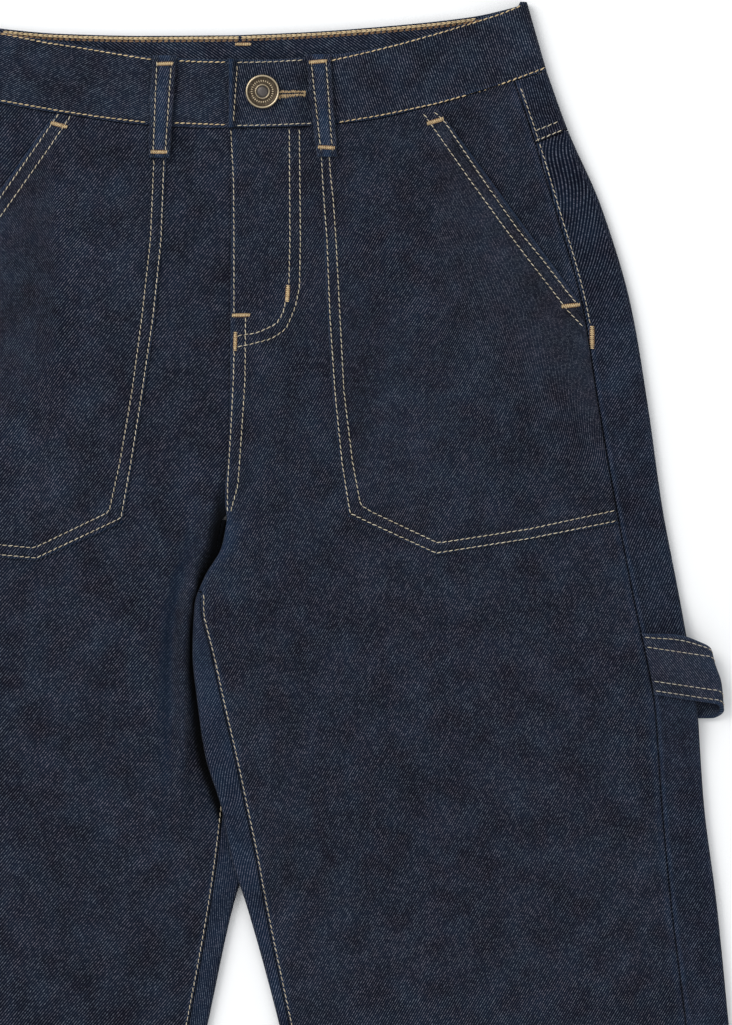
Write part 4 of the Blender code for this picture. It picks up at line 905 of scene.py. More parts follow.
def waistband_point(side, part, at, share):
    """Points of the band's outer face at one place round the waist, for shares of its depth from the seam up."""
    edges = WAIST[side]
    sign = SIGN[side]
    fold = edges.fold_seam + (edges.fold_top - edges.fold_seam) * share
    radius = WAISTBAND_TOP / 2
    turn_start = fold - sign * radius
    if part == "turn":
        y = edges.front_seam[-1][1] + (edges.front_top[-1][1] - edges.front_seam[-1][1]) * share
        x = turn_start + sign * radius * math.cos(at)
        return np.stack([x, y, np.full_like(x, radius + radius * math.sin(at))], -1)
    eased = BAND_EASE + (at - BAND_EASE) * (turn_start * sign - BAND_EASE) / (BAND_LAST - BAND_EASE)
    x = np.where(at > BAND_EASE, eased, at) * sign
    seam, top = waist[side][part + "_seam"], waist[side][part + "_top"]
    scaled = x * (1 - 0.35 * share * abs(edges.fold_seam - edges.fold_top) / abs(edges.fold_seam))
    y = seam(x) + (top(scaled) - seam(x)) * share
    if part == "back":
        return np.stack([x, y, back_rise(x, np.full_like(x, 0.45))], -1)
    z = np.full_like(x, WAISTBAND_TOP)
    if side == "left":
        z = OVERLAP_END_TOP + (WAISTBAND_TOP - OVERLAP_END_TOP) * step_up(x, OVERLAP_FLAT_X, OVERLAP_DOWN_X)
        z = z + rolled(x - OVERLAP_EDGE_X, 0.0014, 0.0018)
        z = z - 0.0004 * bell(x - OVERLAP_EDGE_X - 0.0040, 0.0010)
    depth = (top(scaled) - seam(x))
    z = z + rolled(share * depth, 0.0006) + rolled((1 - share) * depth, 0.0009)
    z = z - 0.00025 * bell(share * depth - 0.0018, 0.0007) - 0.00025 * bell((1 - share) * depth - 0.0018, 0.0007)
    ripple = unevenness(x / 0.0065, y / 0.03, 31) * (bell(share * depth, 0.006) + bell((1 - share) * depth, 0.006))
    z = z + 0.00028 * ripple + 0.00025 * unevenness(x / 0.017, y / 0.011, 32)
    return np.stack([x, y, z], -1)


def waistband_cloth():
    share = np.concatenate([[0, 0.006, 0.015, 0.03, 0.045, 0.06, 0.08, 0.11], np.linspace(0.15, 0.85, 14),
                            [0.89, 0.92, 0.94, 0.955, 0.97, 0.985, 0.994, 1.0]])
    stops = []
    near = [OVERLAP_EDGE_X + inward for inward in (0.0, 0.0001, 0.0003, 0.0006, 0.0010, 0.0015, 0.0022, 0.0032, 0.0044)]
    stops += [("left", "front", at) for at in near]
    stops += [("left", "front", at) for at in np.linspace(0.0004, 0.1445, 76)]
    turns = np.linspace(math.pi / 2, -math.pi / 2, 14)
    stops += [("left", "turn", at) for at in turns]
    stops += [("left", "back", at) for at in np.linspace(0.1445, 0.001, 50)]
    stops += [("right", "back", at) for at in np.linspace(0.005, 0.1445, 50)]
    stops += [("right", "turn", at) for at in turns[::-1]]
    stops += [("right", "front", at) for at in np.linspace(0.1445, -UNDERLAP_END_X, 90)]
    points = np.stack([waistband_point(side, part, at, share) for side, part, at in stops], 0)
    depth = 0.034
    edge = np.minimum(share, 1 - share)[None, :] * depth
    fade = 0.55 * bell(edge - 0.0004, 0.0009) * np.ones((len(stops), 1))
    is_front = np.array([part == "front" and side == "left" for side, part, _ in stops])[:, None]
    from_end = points[..., 0] - OVERLAP_EDGE_X
    fade = fade + is_front * bell(from_end - 0.0012, 0.0009)
    shade = is_front * 0.55 * bell(from_end - 0.0036, 0.0012)
    return points, np.clip(fade, 0, 1), shade


def loop_points(loop):
    """A front belt loop over the waistband: rows along it, columns across."""
    share = np.concatenate([[0, 0.004, 0.012, 0.025, 0.045], np.linspace(0.07, 0.93, 34), [0.955, 0.975, 0.99, 1.0]])
    across = np.concatenate([[-1, -0.985, -0.95, -0.90, -0.82], np.linspace(-0.7, 0.7, 9),
                             [0.82, 0.90, 0.95, 0.985, 1]])
    middle_x = loop.top[0] + (loop.foot[0] - loop.top[0]) * share
    y = loop.top[1] + (loop.foot[1] - loop.top[1]) * share
    half = (loop.top_width + (loop.foot_width - loop.top_width) * share) / 2
    half = half + 0.00022 * unevenness(y / 0.0045, y * 0, 43)
    x = middle_x[:, None] + half[:, None] * across[None, :] + 0.0002 * unevenness(y / 0.012, y * 0, 44)[:, None]
    length = abs(loop.foot[1] - loop.top[1])
    from_side = (1 - np.abs(across))[None, :] * half[:, None]
    z = loop_profile(share)[:, None] + rolled(from_side, 0.0009, 0.0012)
    z = z + rolled(share[:, None] * length, 0.0010, 0.0016) + rolled((1 - share[:, None]) * length, 0.0009, 0.0012)
    z = z + 0.00025 * bell(from_side - 0.0012, 0.0007) - 0.00025 * bell(from_side - 0.0024, 0.0006)
    z = z + 0.00015 * unevenness(x / 0.003, y[:, None] / 0.005, 41)
    fade = 0.6 * step_up(from_side, 0.0028, 0.0040) + 0.4 * bell(share[:, None] * length, 0.0012)
    fade = fade + 0.5 * bell((1 - share[:, None]) * length - 0.0005, 0.001)
    points = np.stack([x, np.repeat(y[:, None], x.shape[1], 1), z], -1)
    return points, np.clip(fade, 0, 1), 0.35 * bell(from_side - 0.0024, 0.0008) * np.ones(x.shape)


def back_loop_points(loop):
    """A belt loop of the back, pressed flat under the waistband: its lower face, seen from below."""
    share = np.concatenate([[0, 0.01, 0.03], np.linspace(0.06, 0.94, 24), [0.97, 0.99, 1.0]])
    across = np.concatenate([[-1, -0.97, -0.9, -0.8], np.linspace(-0.65, 0.65, 8), [0.8, 0.9, 0.97, 1]])
    top = loop.top[1] - BACK_LOOP_TUCK
    y = top + (loop.foot[1] - top) * share
    x = loop.top[0] + loop.top_width / 2 * across[None, :] * np.ones((len(share), 1))
    from_side = (1 - np.abs(across))[None, :] * loop.top_width / 2 * np.ones((len(share), 1))
    z = -rolled(from_side, 0.0004, 0.0010) + 0.0001 * bell(from_side - 0.0024, 0.0006)
    points = np.stack([x, np.repeat(y[:, None], x.shape[1], 1), z], -1)
    return points, np.clip(0.35 + 0.8 * bell(from_side - 0.0006, 0.001), 0, 1), np.zeros(x.shape)


HAMMER_FACE_TOP = float(upper_face("left", outer_edge(HAMMER_TOP_Y) - LAID_HEIGHT, HAMMER_TOP_Y)
                        + SEAM_GAP + HAMMER_CLOTH)


def hammer_loop_point(across, along):
    """A point of the hammer loop. across goes down its width, and along from the seam (0) past its bend (1 to
    2) to where it is sewn under the leg (3)."""
    y = HAMMER_TOP_Y + HAMMER_RISE - HAMMER_WIDTH * across
    seam = float(outseam_line(y)) + SEAM_GAP
    bend = float(hammer_bend(across))
    radius = HAMMER_FACE_TOP / 2
    upper = 1 - step_up(across, 0.0, 0.16)
    y = y + upper * (HAMMER_BULGE * hump(along - 0.6, 0.6, 0.5) - HAMMER_CORNER * step_up(along, 0.7, 1.3))
    low = float(y - HAMMER_SLANT * min(along, 1.0) - HAMMER_TWIST * step_up(along, 1.0, 2.1))
    if along <= 1:
        x = seam + (bend - seam) * along
        over = float(upper_face("left", min(x, float(outer_edge(low)) - LAID_HEIGHT), low)) + SEAM_GAP + HAMMER_CLOTH
        rise = float(step_up(along, 0.3, 1.0))
        return Vector((x, low, over + (HAMMER_FACE_TOP - over) * rise))
    if along <= 2:
        turn = math.pi / 2 - math.pi * (along - 1)
        return Vector((bend + radius * math.cos(turn), low, radius + radius * math.sin(turn)))
    return Vector((bend + (HAMMER_BACK_X - bend) * (along - 2), low, 0.0))


def hammer_loop_cloth():
    across = np.concatenate([[0, 0.004, 0.012, 0.03, 0.055, 0.085], np.linspace(0.13, 0.87, 18),
                             [0.915, 0.945, 0.97, 0.988, 0.996, 1.0]])
    along = np.concatenate([np.linspace(0, 1, 24), 1 + np.linspace(0, 1, 18)[1:], 2 + np.linspace(0, 1, 14)[1:]])
    points = np.array([[hammer_loop_point(a, l) for l in along] for a in across])
    from_edge = np.minimum(across, 1 - across) * HAMMER_WIDTH
    on_top = (along <= 1)[None, :]
    relief = rolled(from_edge, 0.0008, 0.0012) - 0.00025 * bell(from_edge - 0.0016, 0.0006)
    relief = relief - 0.00025 * bell(from_edge - 0.0064, 0.0006) + 0.0002 * bell(from_edge - 0.004, 0.0016)
    points[..., 2] += np.where(on_top, relief[:, None], 0.0)
    fade = 0.6 * bell(from_edge - 0.0004, 0.0010)[:, None] + 0.12 + 0.35 * bell(along - 1.25, 0.3)[None, :]
    return points, np.clip(fade, 0, 1), np.zeros(fade.shape)


class Socket:
    """A value in a material's nodes. Python's arithmetic on it adds Math nodes."""

    def __init__(self, finish, socket):
        self.finish, self.socket = finish, socket

    def math(self, operation, *values, clamp=False):
        settings = {"operation": operation, "use_clamp": clamp}
        return self.finish.add("ShaderNodeMath", settings, dict(enumerate(values)))

    def __add__(self, other):
        return self.math("ADD", self, other)

    def __sub__(self, other):
        return self.math("SUBTRACT", self, other)

    def __rsub__(self, other):
        return self.math("SUBTRACT", other, self)

    def __mul__(self, other):
        return self.math("MULTIPLY", self, other)

    def __truediv__(self, other):
        return self.math("DIVIDE", self, other)

    def __pow__(self, other):
        return self.math("POWER", self, other)

    __radd__, __rmul__ = __add__, __mul__

    def sine(self):
        return self.math("SINE", self)

    def within(self, low, high):
        """0 below low and 1 above high, with a straight run between."""
        return ((self - low) / (high - low)).math("ADD", (self - low) / (high - low), 0.0, clamp=True)


class Finish:
    """A material and its nodes."""

    def __init__(self, name):
        self.material = bpy.data.materials.new(name)
        self.material.use_nodes = True
        self.tree = self.material.node_tree
        self.shader = self.tree.nodes["Principled BSDF"]

    def feed(self, socket, value):
        if isinstance(value, Socket):
            self.tree.links.new(value.socket, socket)
        else:
            socket.default_value = value

    def add(self, kind, settings=None, sockets=None, output=0):
        node = self.tree.nodes.new(kind)
        for setting, value in (settings or {}).items():
            setattr(node, setting, value)
        for key, value in (sockets or {}).items():
            self.feed(node.inputs[key], value)
        return Socket(self, node.outputs[output])

    def where(self):
        """The place on the object, as three sockets in metres."""
        place = self.add("ShaderNodeTexCoord", output="Object")
        split = self.tree.nodes.new("ShaderNodeSeparateXYZ")
        self.tree.links.new(place.socket, split.inputs[0])
        return place, *(Socket(self, split.outputs[i]) for i in range(3))

    def noise(self, vector, scale, detail=2.0, roughness=0.5):
        sockets = {"Vector": vector, "Scale": scale, "Detail": detail, "Roughness": roughness}
        return self.add("ShaderNodeTexNoise", {}, sockets)

    def blend(self, share, first, second, kind="MIX"):
        settings = {"data_type": "RGBA", "blend_type": kind, "clamp_factor": True}
        return self.add("ShaderNodeMix", settings, {0: share, 6: first, 7: second}, output=2)

    def point_value(self, name):
        return self.add("ShaderNodeAttribute", {"attribute_name": name}, output="Fac")

    def bump(self, height, strength, distance):
        sockets = {"Height": height, "Strength": strength, "Distance": distance}
        return self.add("ShaderNodeBump", {}, sockets)

    def surface(self, **sockets):
        for name, value in sockets.items():
            self.feed(self.shader.inputs[name.replace("_", " ")], value)


WEFT_STEP = 0.00060


def denim(name, twill_degrees, tint=(1.0, 1.0, 1.0), lightness=1.0, coarseness=1.0):
    """Dark rinsed twill: slanting ridges of indigo warp with specks of paler weft between them. The slant is
    above the horizontal, on the cloth as it lies."""
    sizes, colours = bpy.context.scene.jeans_sizes, bpy.context.scene.jeans_colours
    finish = Finish(name)
    place, _, y, _ = finish.where()
    x = finish.point_value("run")
    slant = math.radians(twill_degrees)
    wander = finish.noise(place, 90.0, 2.0) - 0.5
    along = (x * math.cos(slant) + y * math.sin(slant)) / WEFT_STEP + 500.0
    across = (y * math.cos(slant) - x * math.sin(slant)) / (sizes.twill_pitch * coarseness) + wander * 0.5 + 500.0
    line = across.math("FLOOR", across)
    step = along + wander * 0.9 + line * 0.37
    crossing = finish.add("ShaderNodeCombineXYZ", {}, {0: step.math("FLOOR", step), 1: line})
    chance = finish.add("ShaderNodeTexWhiteNoise", {"noise_dimensions": "2D"}, {"Vector": crossing})
    groove = 0.5 - (across * (2 * math.pi)).math("COSINE", across * (2 * math.pi)) * 0.5
    dash = 0.5 - (step * (2 * math.pi)).math("COSINE", step * (2 * math.pi)) * 0.5
    weft = groove ** 4.5 * (dash * 0.35 + 0.65) * (chance ** 2.2 * 0.74 + 0.20)
    slub_place = finish.add("ShaderNodeCombineXYZ", {}, {0: x * 800.0, 1: y * 60.0, 2: 0.0})
    slub = finish.noise(slub_place, 1.0, 2.0, 0.6) - 0.5
    mottle = finish.noise(place, 62.0, 3.0, 0.55) - 0.5
    hue = finish.noise(place, 88.0, 2.0, 0.6)
    cloud = finish.noise(place, 17.0, 2.0, 0.5) - 0.5
    # The worn tint makes cloth paler and bluer and, in the valley beside the crotch's ridge, colours painted shade;
    # shade is painted shade that darkens the colour below.
    fade, shade = finish.point_value("fade"), finish.point_value("shade")
    paleness = weft * (1.0 + mottle * 0.5 + slub * 0.5) * (1.0 - fade * 0.50)
    dark = [a * b * lightness for a, b in zip(colours.indigo, tint)] + [1.0]
    teal = [a * lightness for a in colours.faded_and_valley_shade] + [1.0]
    cool = [a * b * lightness for a, b in zip(colours.weft, tint)]
    cool, warm = [cool[0] * 0.94, cool[1] * 1.02, cool[2] * 1.04, 1.0], [cool[0] * 1.07, cool[1] * 0.98, cool[2], 1.0]
    pale = finish.blend(hue.within(0.38, 0.62), cool, warm)
    warp = finish.blend((mottle * 2.0 + 0.42 + fade * 0.9).within(0.0, 1.0), dark, teal)
    colour = finish.blend(paleness.within(0.0, 1.0), warp, pale)
    level = (1.0 + cloud * 0.35 + mottle * 0.30 + fade * 0.60) * (1.0 - shade)
    level_colour = finish.add("ShaderNodeCombineColor", {}, {0: level, 1: level, 2: level})
    colour = finish.blend(1.0, colour, level_colour, "MULTIPLY")
    height = (1.0 - groove) * 0.8 + weft * 0.5
    finish.surface(Base_Color=colour, Roughness=0.95, Sheen_Weight=0.02, Sheen_Roughness=0.5,
                   Specular_IOR_Level=0.06, Normal=finish.bump(height, 0.4, 0.00012))
    return finish.material


def thread_finish(name, light, dark):
    """Twisted cotton, each stitch a little lighter or darker than the next."""
    finish = Finish(name)
    place, *_ = finish.where()
    tone = finish.point_value("tone")
    fibre = finish.noise(place, 2600.0, 2.0) - 0.5
    share = (tone + fibre * 0.8).within(0.0, 1.0)
    colour = finish.blend(share, (*dark, 1.0), (*light, 1.0))
    finish.surface(Base_Color=colour, Roughness=0.72 + fibre * 0.1, Sheen_Weight=0.2,
                   Normal=finish.bump(fibre, 0.5, 0.00008))
    return finish.material


def brass_finish(name, bright, dull):
    """Antique brass, dark in its hollows and rubbed bright on its rims."""
    finish = Finish(name)
    place, *_ = finish.where()
    rubbed = finish.point_value("rubbed")
    patina = finish.noise(place, 900.0, 4.0, 0.65)
    share = (rubbed * 1.2 + patina * 0.7 - 0.35).within(0.0, 1.0)
    colour = finish.blend(share, (*dull, 1.0), (*bright, 1.0))
    finish.surface(Base_Color=colour, Metallic=0.95, Roughness=0.52 - share * 0.22,
                   Normal=finish.bump(patina, 0.25, 0.0001))
    return finish.material


def tape_finish(name):
    """Woven zip tape."""
    finish = Finish(name)
    place, x, y, z = finish.where()
    weave = (x * 9000.0).sine() * (y * 9000.0).sine() * 0.5 + 0.5
    colour = finish.blend(weave, (0.006, 0.008, 0.014, 1.0), (0.020, 0.024, 0.038, 1.0))
    finish.surface(Base_Color=colour, Roughness=0.85, Normal=finish.bump(weave, 0.4, 0.0001))
    return finish.material


def floor_finish():
    finish = Finish("pale_floor")
    place, *_ = finish.where()
    grain = finish.noise(place, 6.0, 3.0)
    colour = finish.blend(grain, (0.90, 0.90, 0.90, 1.0), (0.94, 0.94, 0.94, 1.0))
    finish.surface(Base_Color=colour, Roughness=0.95, Specular_IOR_Level=0.1)
    return finish.material


def finish_named(name, make, *values):
    """A material by name, made the first time that it is asked for."""
    return bpy.data.materials.get(name) or make(name, *values)


PLAIN = (1.0, 1.0, 1.0)
DENIMS = {
    "denim_leg_left": (60.0, PLAIN, 1.0, 1.16),
    "denim_leg_right": (50.0, PLAIN, 1.0, 1.26),
    "denim_pocket_left": (57.0, PLAIN, 1.0, 1.16),
    "denim_pocket_right": (51.0, PLAIN, 1.04, 1.26),
    "denim_back_left": (50.0, (0.96, 1.02, 1.08), 1.0, 1.05),
    "denim_back_right": (118.0, (0.96, 1.02, 1.08)),
    "denim_yoke": (66.0, (0.96, 1.02, 1.08)),
    "denim_band_left": (78.0, (1.0, 1.04, 1.04), 1.08, 1.16),
    "denim_band_right": (34.0, (1.0, 1.06, 1.08), 1.04, 1.22),
    "denim_loop": (65.0, (1.0, 1.05, 1.06), 1.25, 1.07),
    "denim_hammer_loop": (-52.0, (1.02, 1.02, 1.0), 1.2),
}


def denim_named(name):
    return finish_named(name, denim, *DENIMS[name])


class Thread:
    """Gathers short pieces of thread into one mesh."""

    def __init__(self, name, radius, seed):
        self.name, self.radius = name, radius
        self.vertices, self.faces, self.tones = [], [], []
        self.random = random.Random(seed)

    def stitch(self, points, tone, radius=None, side=None):
        """One piece of thread through the middles of its rings, which are as many as STITCH_RADIUS has."""
        radius = radius or self.radius
        first = len(self.vertices)
        tone = min(1.0, max(0.0, tone + self.random.uniform(-0.22, 0.22)))
        twist = self.random.uniform(0, math.pi)
        for i, point in enumerate(points):
            ahead = points[min(i + 1, len(points) - 1)] - points[max(i - 1, 0)]
            across = ahead.cross(side or Vector((0, 0, 1))).normalized()
            up = across.cross(ahead).normalized()
            for j in range(STITCH_SIDES):
                turn = 2 * math.pi * j / STITCH_SIDES + twist + i * 0.5
                ply = 1.0 + 0.12 * math.cos(2 * (turn - twist - i * 0.5))
                reach = radius * STITCH_RADIUS[i] * ply
                self.vertices.append(point + across * (reach * math.cos(turn)) + up * (reach * math.sin(turn)))
                self.tones.append(tone)
        rings = len(points)
        for i in range(rings - 1):
            for j in range(STITCH_SIDES):
                a, b = first + i * STITCH_SIDES + j, first + i * STITCH_SIDES + (j + 1) % STITCH_SIDES
                self.faces.append((a, b, b + STITCH_SIDES, a + STITCH_SIDES))
        self.faces.append(tuple(first + j for j in range(STITCH_SIDES))[::-1])
        last = first + (rings - 1) * STITCH_SIDES
        self.faces.append(tuple(last + j for j in range(STITCH_SIDES)))

    def lay(self, cloth, start, end, tone, radius=None, lift=0.0):
        """A stitch on the cloth between two places (x, y), its ends sunk in."""
        radius = radius or self.radius
        points = []
        for i, rise in enumerate(STITCH_RISE):
            share = i / (len(STITCH_RISE) - 1)
            x = start[0] + (end[0] - start[0]) * share
            y = start[1] + (end[1] - start[1]) * share
            points.append(cloth.on(x, y, rise * radius + lift))
        self.stitch(points, tone, radius, cloth.side)

    def done(self, finish):
        mesh = bpy.data.meshes.new(self.name)
        mesh.from_pydata([tuple(v) for v in self.vertices], [], self.faces)
        mesh.shade_smooth()
        mesh.attributes.new("tone", "FLOAT", "POINT").data.foreach_set("value", self.tones)
        made = bpy.data.objects.new(self.name, mesh)
        bpy.context.scene.collection.objects.link(made)
        return dress(made, [finish], "thread")


class Drape:
    """Finds the cloth's height from above, or from below for the underside."""

    def __init__(self, names, from_above=True):
        depsgraph = bpy.context.evaluated_depsgraph_get()
        depsgraph.update()
        self.trees = [BVHTree.FromObject(bpy.data.objects[name], depsgraph) for name in names]
        self.side = Vector((0, 0, 1 if from_above else -1))

    def on(self, x, y, rise):
        start = Vector((x, y, 0.05 if self.side.z > 0 else -0.05))
        hits = [hit for tree in self.trees if (hit := tree.ray_cast(start, -self.side))[0] is not None]
        if not hits:
            raise RuntimeError(f"no cloth under the stitch at {x:.4f}, {y:.4f}")
        nearest = min(hits, key=lambda hit: hit[3])
        return nearest[0] + self.side * rise


def along_path(points, steps_per_metre=4000):
    """A smooth path through (x, y) points as a dense list, with the distance along it."""
    points = np.array(points, float)
    distance = np.concatenate([[0], np.cumsum(np.hypot(*np.diff(points, axis=0).T))])
    count = max(8, int(distance[-1] * steps_per_metre))
    at = np.linspace(0, distance[-1], count)
    path = np.stack([np.interp(at, distance, points[:, i]) for i in (0, 1)], -1)
    reach = max(1, int(0.003 * steps_per_metre))
    kernel = np.hanning(2 * reach + 3)[1:-1]
    kernel /= kernel.sum()
    padded = np.vstack([2 * path[0] - path[1:reach + 1][::-1], path, 2 * path[-1] - path[-reach - 1:-1][::-1]])
    return np.stack([np.convolve(padded[:, i], kernel, "valid") for i in (0, 1)], -1)


def sew(thread, cloth, points, tone, corners=False):
    """A row of topstitches along a path."""
    sizes = bpy.context.scene.jeans_sizes
    path = np.array(points, float) if corners else along_path(points)
    if corners:
        path = densely(points)
    distance = np.concatenate([[0], np.cumsum(np.hypot(*np.diff(path, axis=0).T))])
    count = max(1, round(distance[-1] / sizes.stitch_length))
    pitch = distance[-1] / count
    for i in range(count):
        start = (i + 0.06 + thread.random.uniform(-0.03, 0.04)) * pitch
        end = (i + 0.94 + thread.random.uniform(-0.06, 0.03)) * pitch
        ends = [(np.interp(at, distance, path[:, 0]), np.interp(at, distance, path[:, 1])) for at in (start, end)]
        (x0, y0), (x1, y1) = ends
        lean = thread.random.gauss(STITCH_LEAN, STITCH_LEAN / 3) / 2
        lean_x, lean_y = lean * (y1 - y0), lean * (x1 - x0)
        thread.lay(cloth, (x0 + lean_x, y0 - lean_y), (x1 - lean_x, y1 + lean_y), tone)


def densely(points):
    """A path with its corners kept, as a dense list."""
    points = np.array(points, float)
    distance = np.concatenate([[0], np.cumsum(np.hypot(*np.diff(points, axis=0).T))])
    at = np.linspace(0, distance[-1], max(8, int(distance[-1] * 4000)))
    return np.stack([np.interp(at, distance, points[:, i]) for i in (0, 1)], -1)


FRONT_CLOTHS = ("jeans_front_left", "jeans_front_right", "jeans_back_left", "jeans_back_right",
                "jeans_yoke_left", "jeans_yoke_right", "jeans_patch_pocket_left", "jeans_patch_pocket_right")
BACK_CLOTHS = ("jeans_back_left", "jeans_back_right", "jeans_yoke_left", "jeans_yoke_right", "jeans_waistband")


def make_fronts():
    for side, flat, area in (("left", (0.272, 0.866), 0.1600), ("right", (0.264, 0.860), 0.1565)):
        points, fade, shade = front_points(side)
        run = cloth_run(points, SIGN[side])
        made = cloth_object(f"jeans_front_{side}", points, side == "right", CLOTH, fade, shade, run)
        thicken_hem(made)
        dress(made, [denim_named(f"denim_leg_{side}")], "denim", f"front_{side}")


def make_backs():
    for side, flat, area in (("left", (0.325, 0.840), 0.2030), ("right", (0.325, 0.834), 0.2035)):
        points, fade, shade = back_cloth(side)
        run = cloth_run(points, -SIGN[side], BACK_ANCHOR)
        made = cloth_object(f"jeans_back_{side}", points, side == "left", CLOTH, fade, shade, run)
        thicken_hem(made)
        dress(made, [denim_named(f"denim_back_{side}")], "denim", f"back_{side}")


def make_yokes():
    for side in ("left", "right"):
        points, fade, shade = yoke_cloth(side)
        run = cloth_run(points, -SIGN[side], BACK_ANCHOR)
        made = cloth_object(f"jeans_yoke_{side}", points, side == "left", CLOTH, fade, shade, run)
        dress(made, [denim_named("denim_yoke")], "denim", f"yoke_{side}")


def make_patch_pockets():
    for side in ("left", "right"):
        points, fade, shade = pocket_cloth(side)
        run = cloth_run(points, SIGN[side])
        made = cloth_object(f"jeans_patch_pocket_{side}", points, side == "right", 0.0009, fade, shade, run)
        dress(made, [denim_named(f"denim_pocket_{side}")], "denim", f"patch_pocket_{side}")


def make_waistband():
    points, fade, shade = waistband_cloth()
    run = cloth_run(points.transpose(1, 0, 2), 1).T
    made = cloth_object("jeans_waistband", points, False, WAISTBAND_CLOTH, fade, shade, run)
    dress(made, [denim_named("denim_band_left"), denim_named("denim_band_right")], "denim", "waistband")
    for face in made.data.polygons:
        face.material_index = 1 if face.center.x < OVERLAP_EDGE_X - 0.0002 or face.center.z < 0.004 else 0


def make_belt_loops():
    for loop in FRONT_BELT_LOOPS:
        points, fade, shade = loop_points(loop)
        made = cloth_object("jeans_" + loop.name, points, False, LOOP_CLOTH, fade, shade, cloth_run(points))
        dress(made, [denim_named("denim_loop")], "loop_denim", loop.name)
    for loop in BACK_BELT_LOOPS:
        points, fade, shade = back_loop_points(loop)
        made = cloth_object("jeans_" + loop.name, points, True, LOOP_CLOTH, fade, shade, cloth_run(points))
        dress(made, [denim_named("denim_loop")], "loop_denim", loop.name)


def make_hammer_loop():
    points, fade, shade = hammer_loop_cloth()
    made = cloth_object("jeans_hammer_loop", points, False, HAMMER_CLOTH, fade, shade, cloth_run(points, 1, 0))
    dress(made, [denim_named("denim_hammer_loop")], "loop_denim", "hammer_loop")


def make_button():
    """A turned tack button with a ring of small pips, and a middle in a finish of its own."""
    colours = bpy.context.scene.jeans_colours
    seat = OVERLAP_END_TOP + SEAM_GAP
    bm = bmesh.new()
    rings = []
    for radius, height in BUTTON_PROFILE:
        if radius == 0:
            rings.append([bm.verts.new((0, 0, height))])
            continue
        turns = [2 * math.pi * i / BUTTON_STEPS for i in range(BUTTON_STEPS)]
        rings.append([bm.verts.new((radius * math.cos(t), radius * math.sin(t), height)) for t in turns])
    for upper, lower in zip(rings, rings[1:]):
        for i in range(BUTTON_STEPS):
            j = (i + 1) % BUTTON_STEPS
            corners = [upper[i % len(upper)], lower[i % len(lower)], lower[j % len(lower)], upper[j % len(upper)]]
            bm.faces.new(list(dict.fromkeys(corners)))
    for i in range(BUTTON_PIPS):
        turn = 2 * math.pi * i / BUTTON_PIPS
        pip = bmesh.ops.create_icosphere(bm, subdivisions=2, radius=0.00042)["verts"]
        for vertex in pip:
            along = vertex.co.x * 1.7
            vertex.co = Vector(((0.0053 + along) * math.cos(turn) - vertex.co.y * math.sin(turn),
                                (0.0053 + along) * math.sin(turn) + vertex.co.y * math.cos(turn),
                                vertex.co.z * 0.8 + 0.00155))
    mesh = bpy.data.meshes.new("jeans_button")
    bm.to_mesh(mesh)
    bm.free()
    mesh.shade_smooth()
    radius = [math.hypot(v.co.x, v.co.y) for v in mesh.vertices]
    rim = [0.9 * math.exp(-((r - 0.0079) / 0.00042) ** 2) + 0.75 * math.exp(-((r - 0.0034) / 0.0003) ** 2)
           + (0.5 if 0.0045 < r < 0.0062 and v.co.z > 0.0017 else 0.0) for r, v in zip(radius, mesh.vertices)]
    mesh.attributes.new("rubbed", "FLOAT", "POINT").data.foreach_set("value", rim)
    made = bpy.data.objects.new("jeans_button", mesh)
    made.location = (*BUTTON_PLACE, seat)
    bpy.context.scene.collection.objects.link(made)
    brass = finish_named("antique_brass", brass_finish, tuple(colours.brass), tuple(colours.patina))
    steel = finish_named("button_middle", brass_finish, (0.36, 0.34, 0.33), (0.10, 0.09, 0.085))
    dress(made, [brass, steel], "button_metal", "button")
    for face in made.data.polygons:
        if math.hypot(face.center.x, face.center.y) < 0.0029 and face.center.z > 0.001:
            face.material_index = 1


def finish_zip():
    """The zip's own solid is right as it is, and only needs its tape."""
    tape = finish_named("zip_tape_weave", tape_finish)
    zip_strip = frame["nodes"]["fly_zip"]
    zip_strip.data.materials.clear()
    zip_strip.data.materials.append(tape)


def thread_materials():
    colours = bpy.context.scene.jeans_colours
    topstitch = finish_named("topstitch_thread", thread_finish, tuple(colours.thread), tuple(colours.thread_dark))
    tack = finish_named("bar_tack_thread", thread_finish, tuple(colours.tack), tuple(colours.tack_dark))
    gold = finish_named("gold_thread", thread_finish, tuple(colours.gold), tuple(colours.gold_dark))
    return topstitch, tack, gold


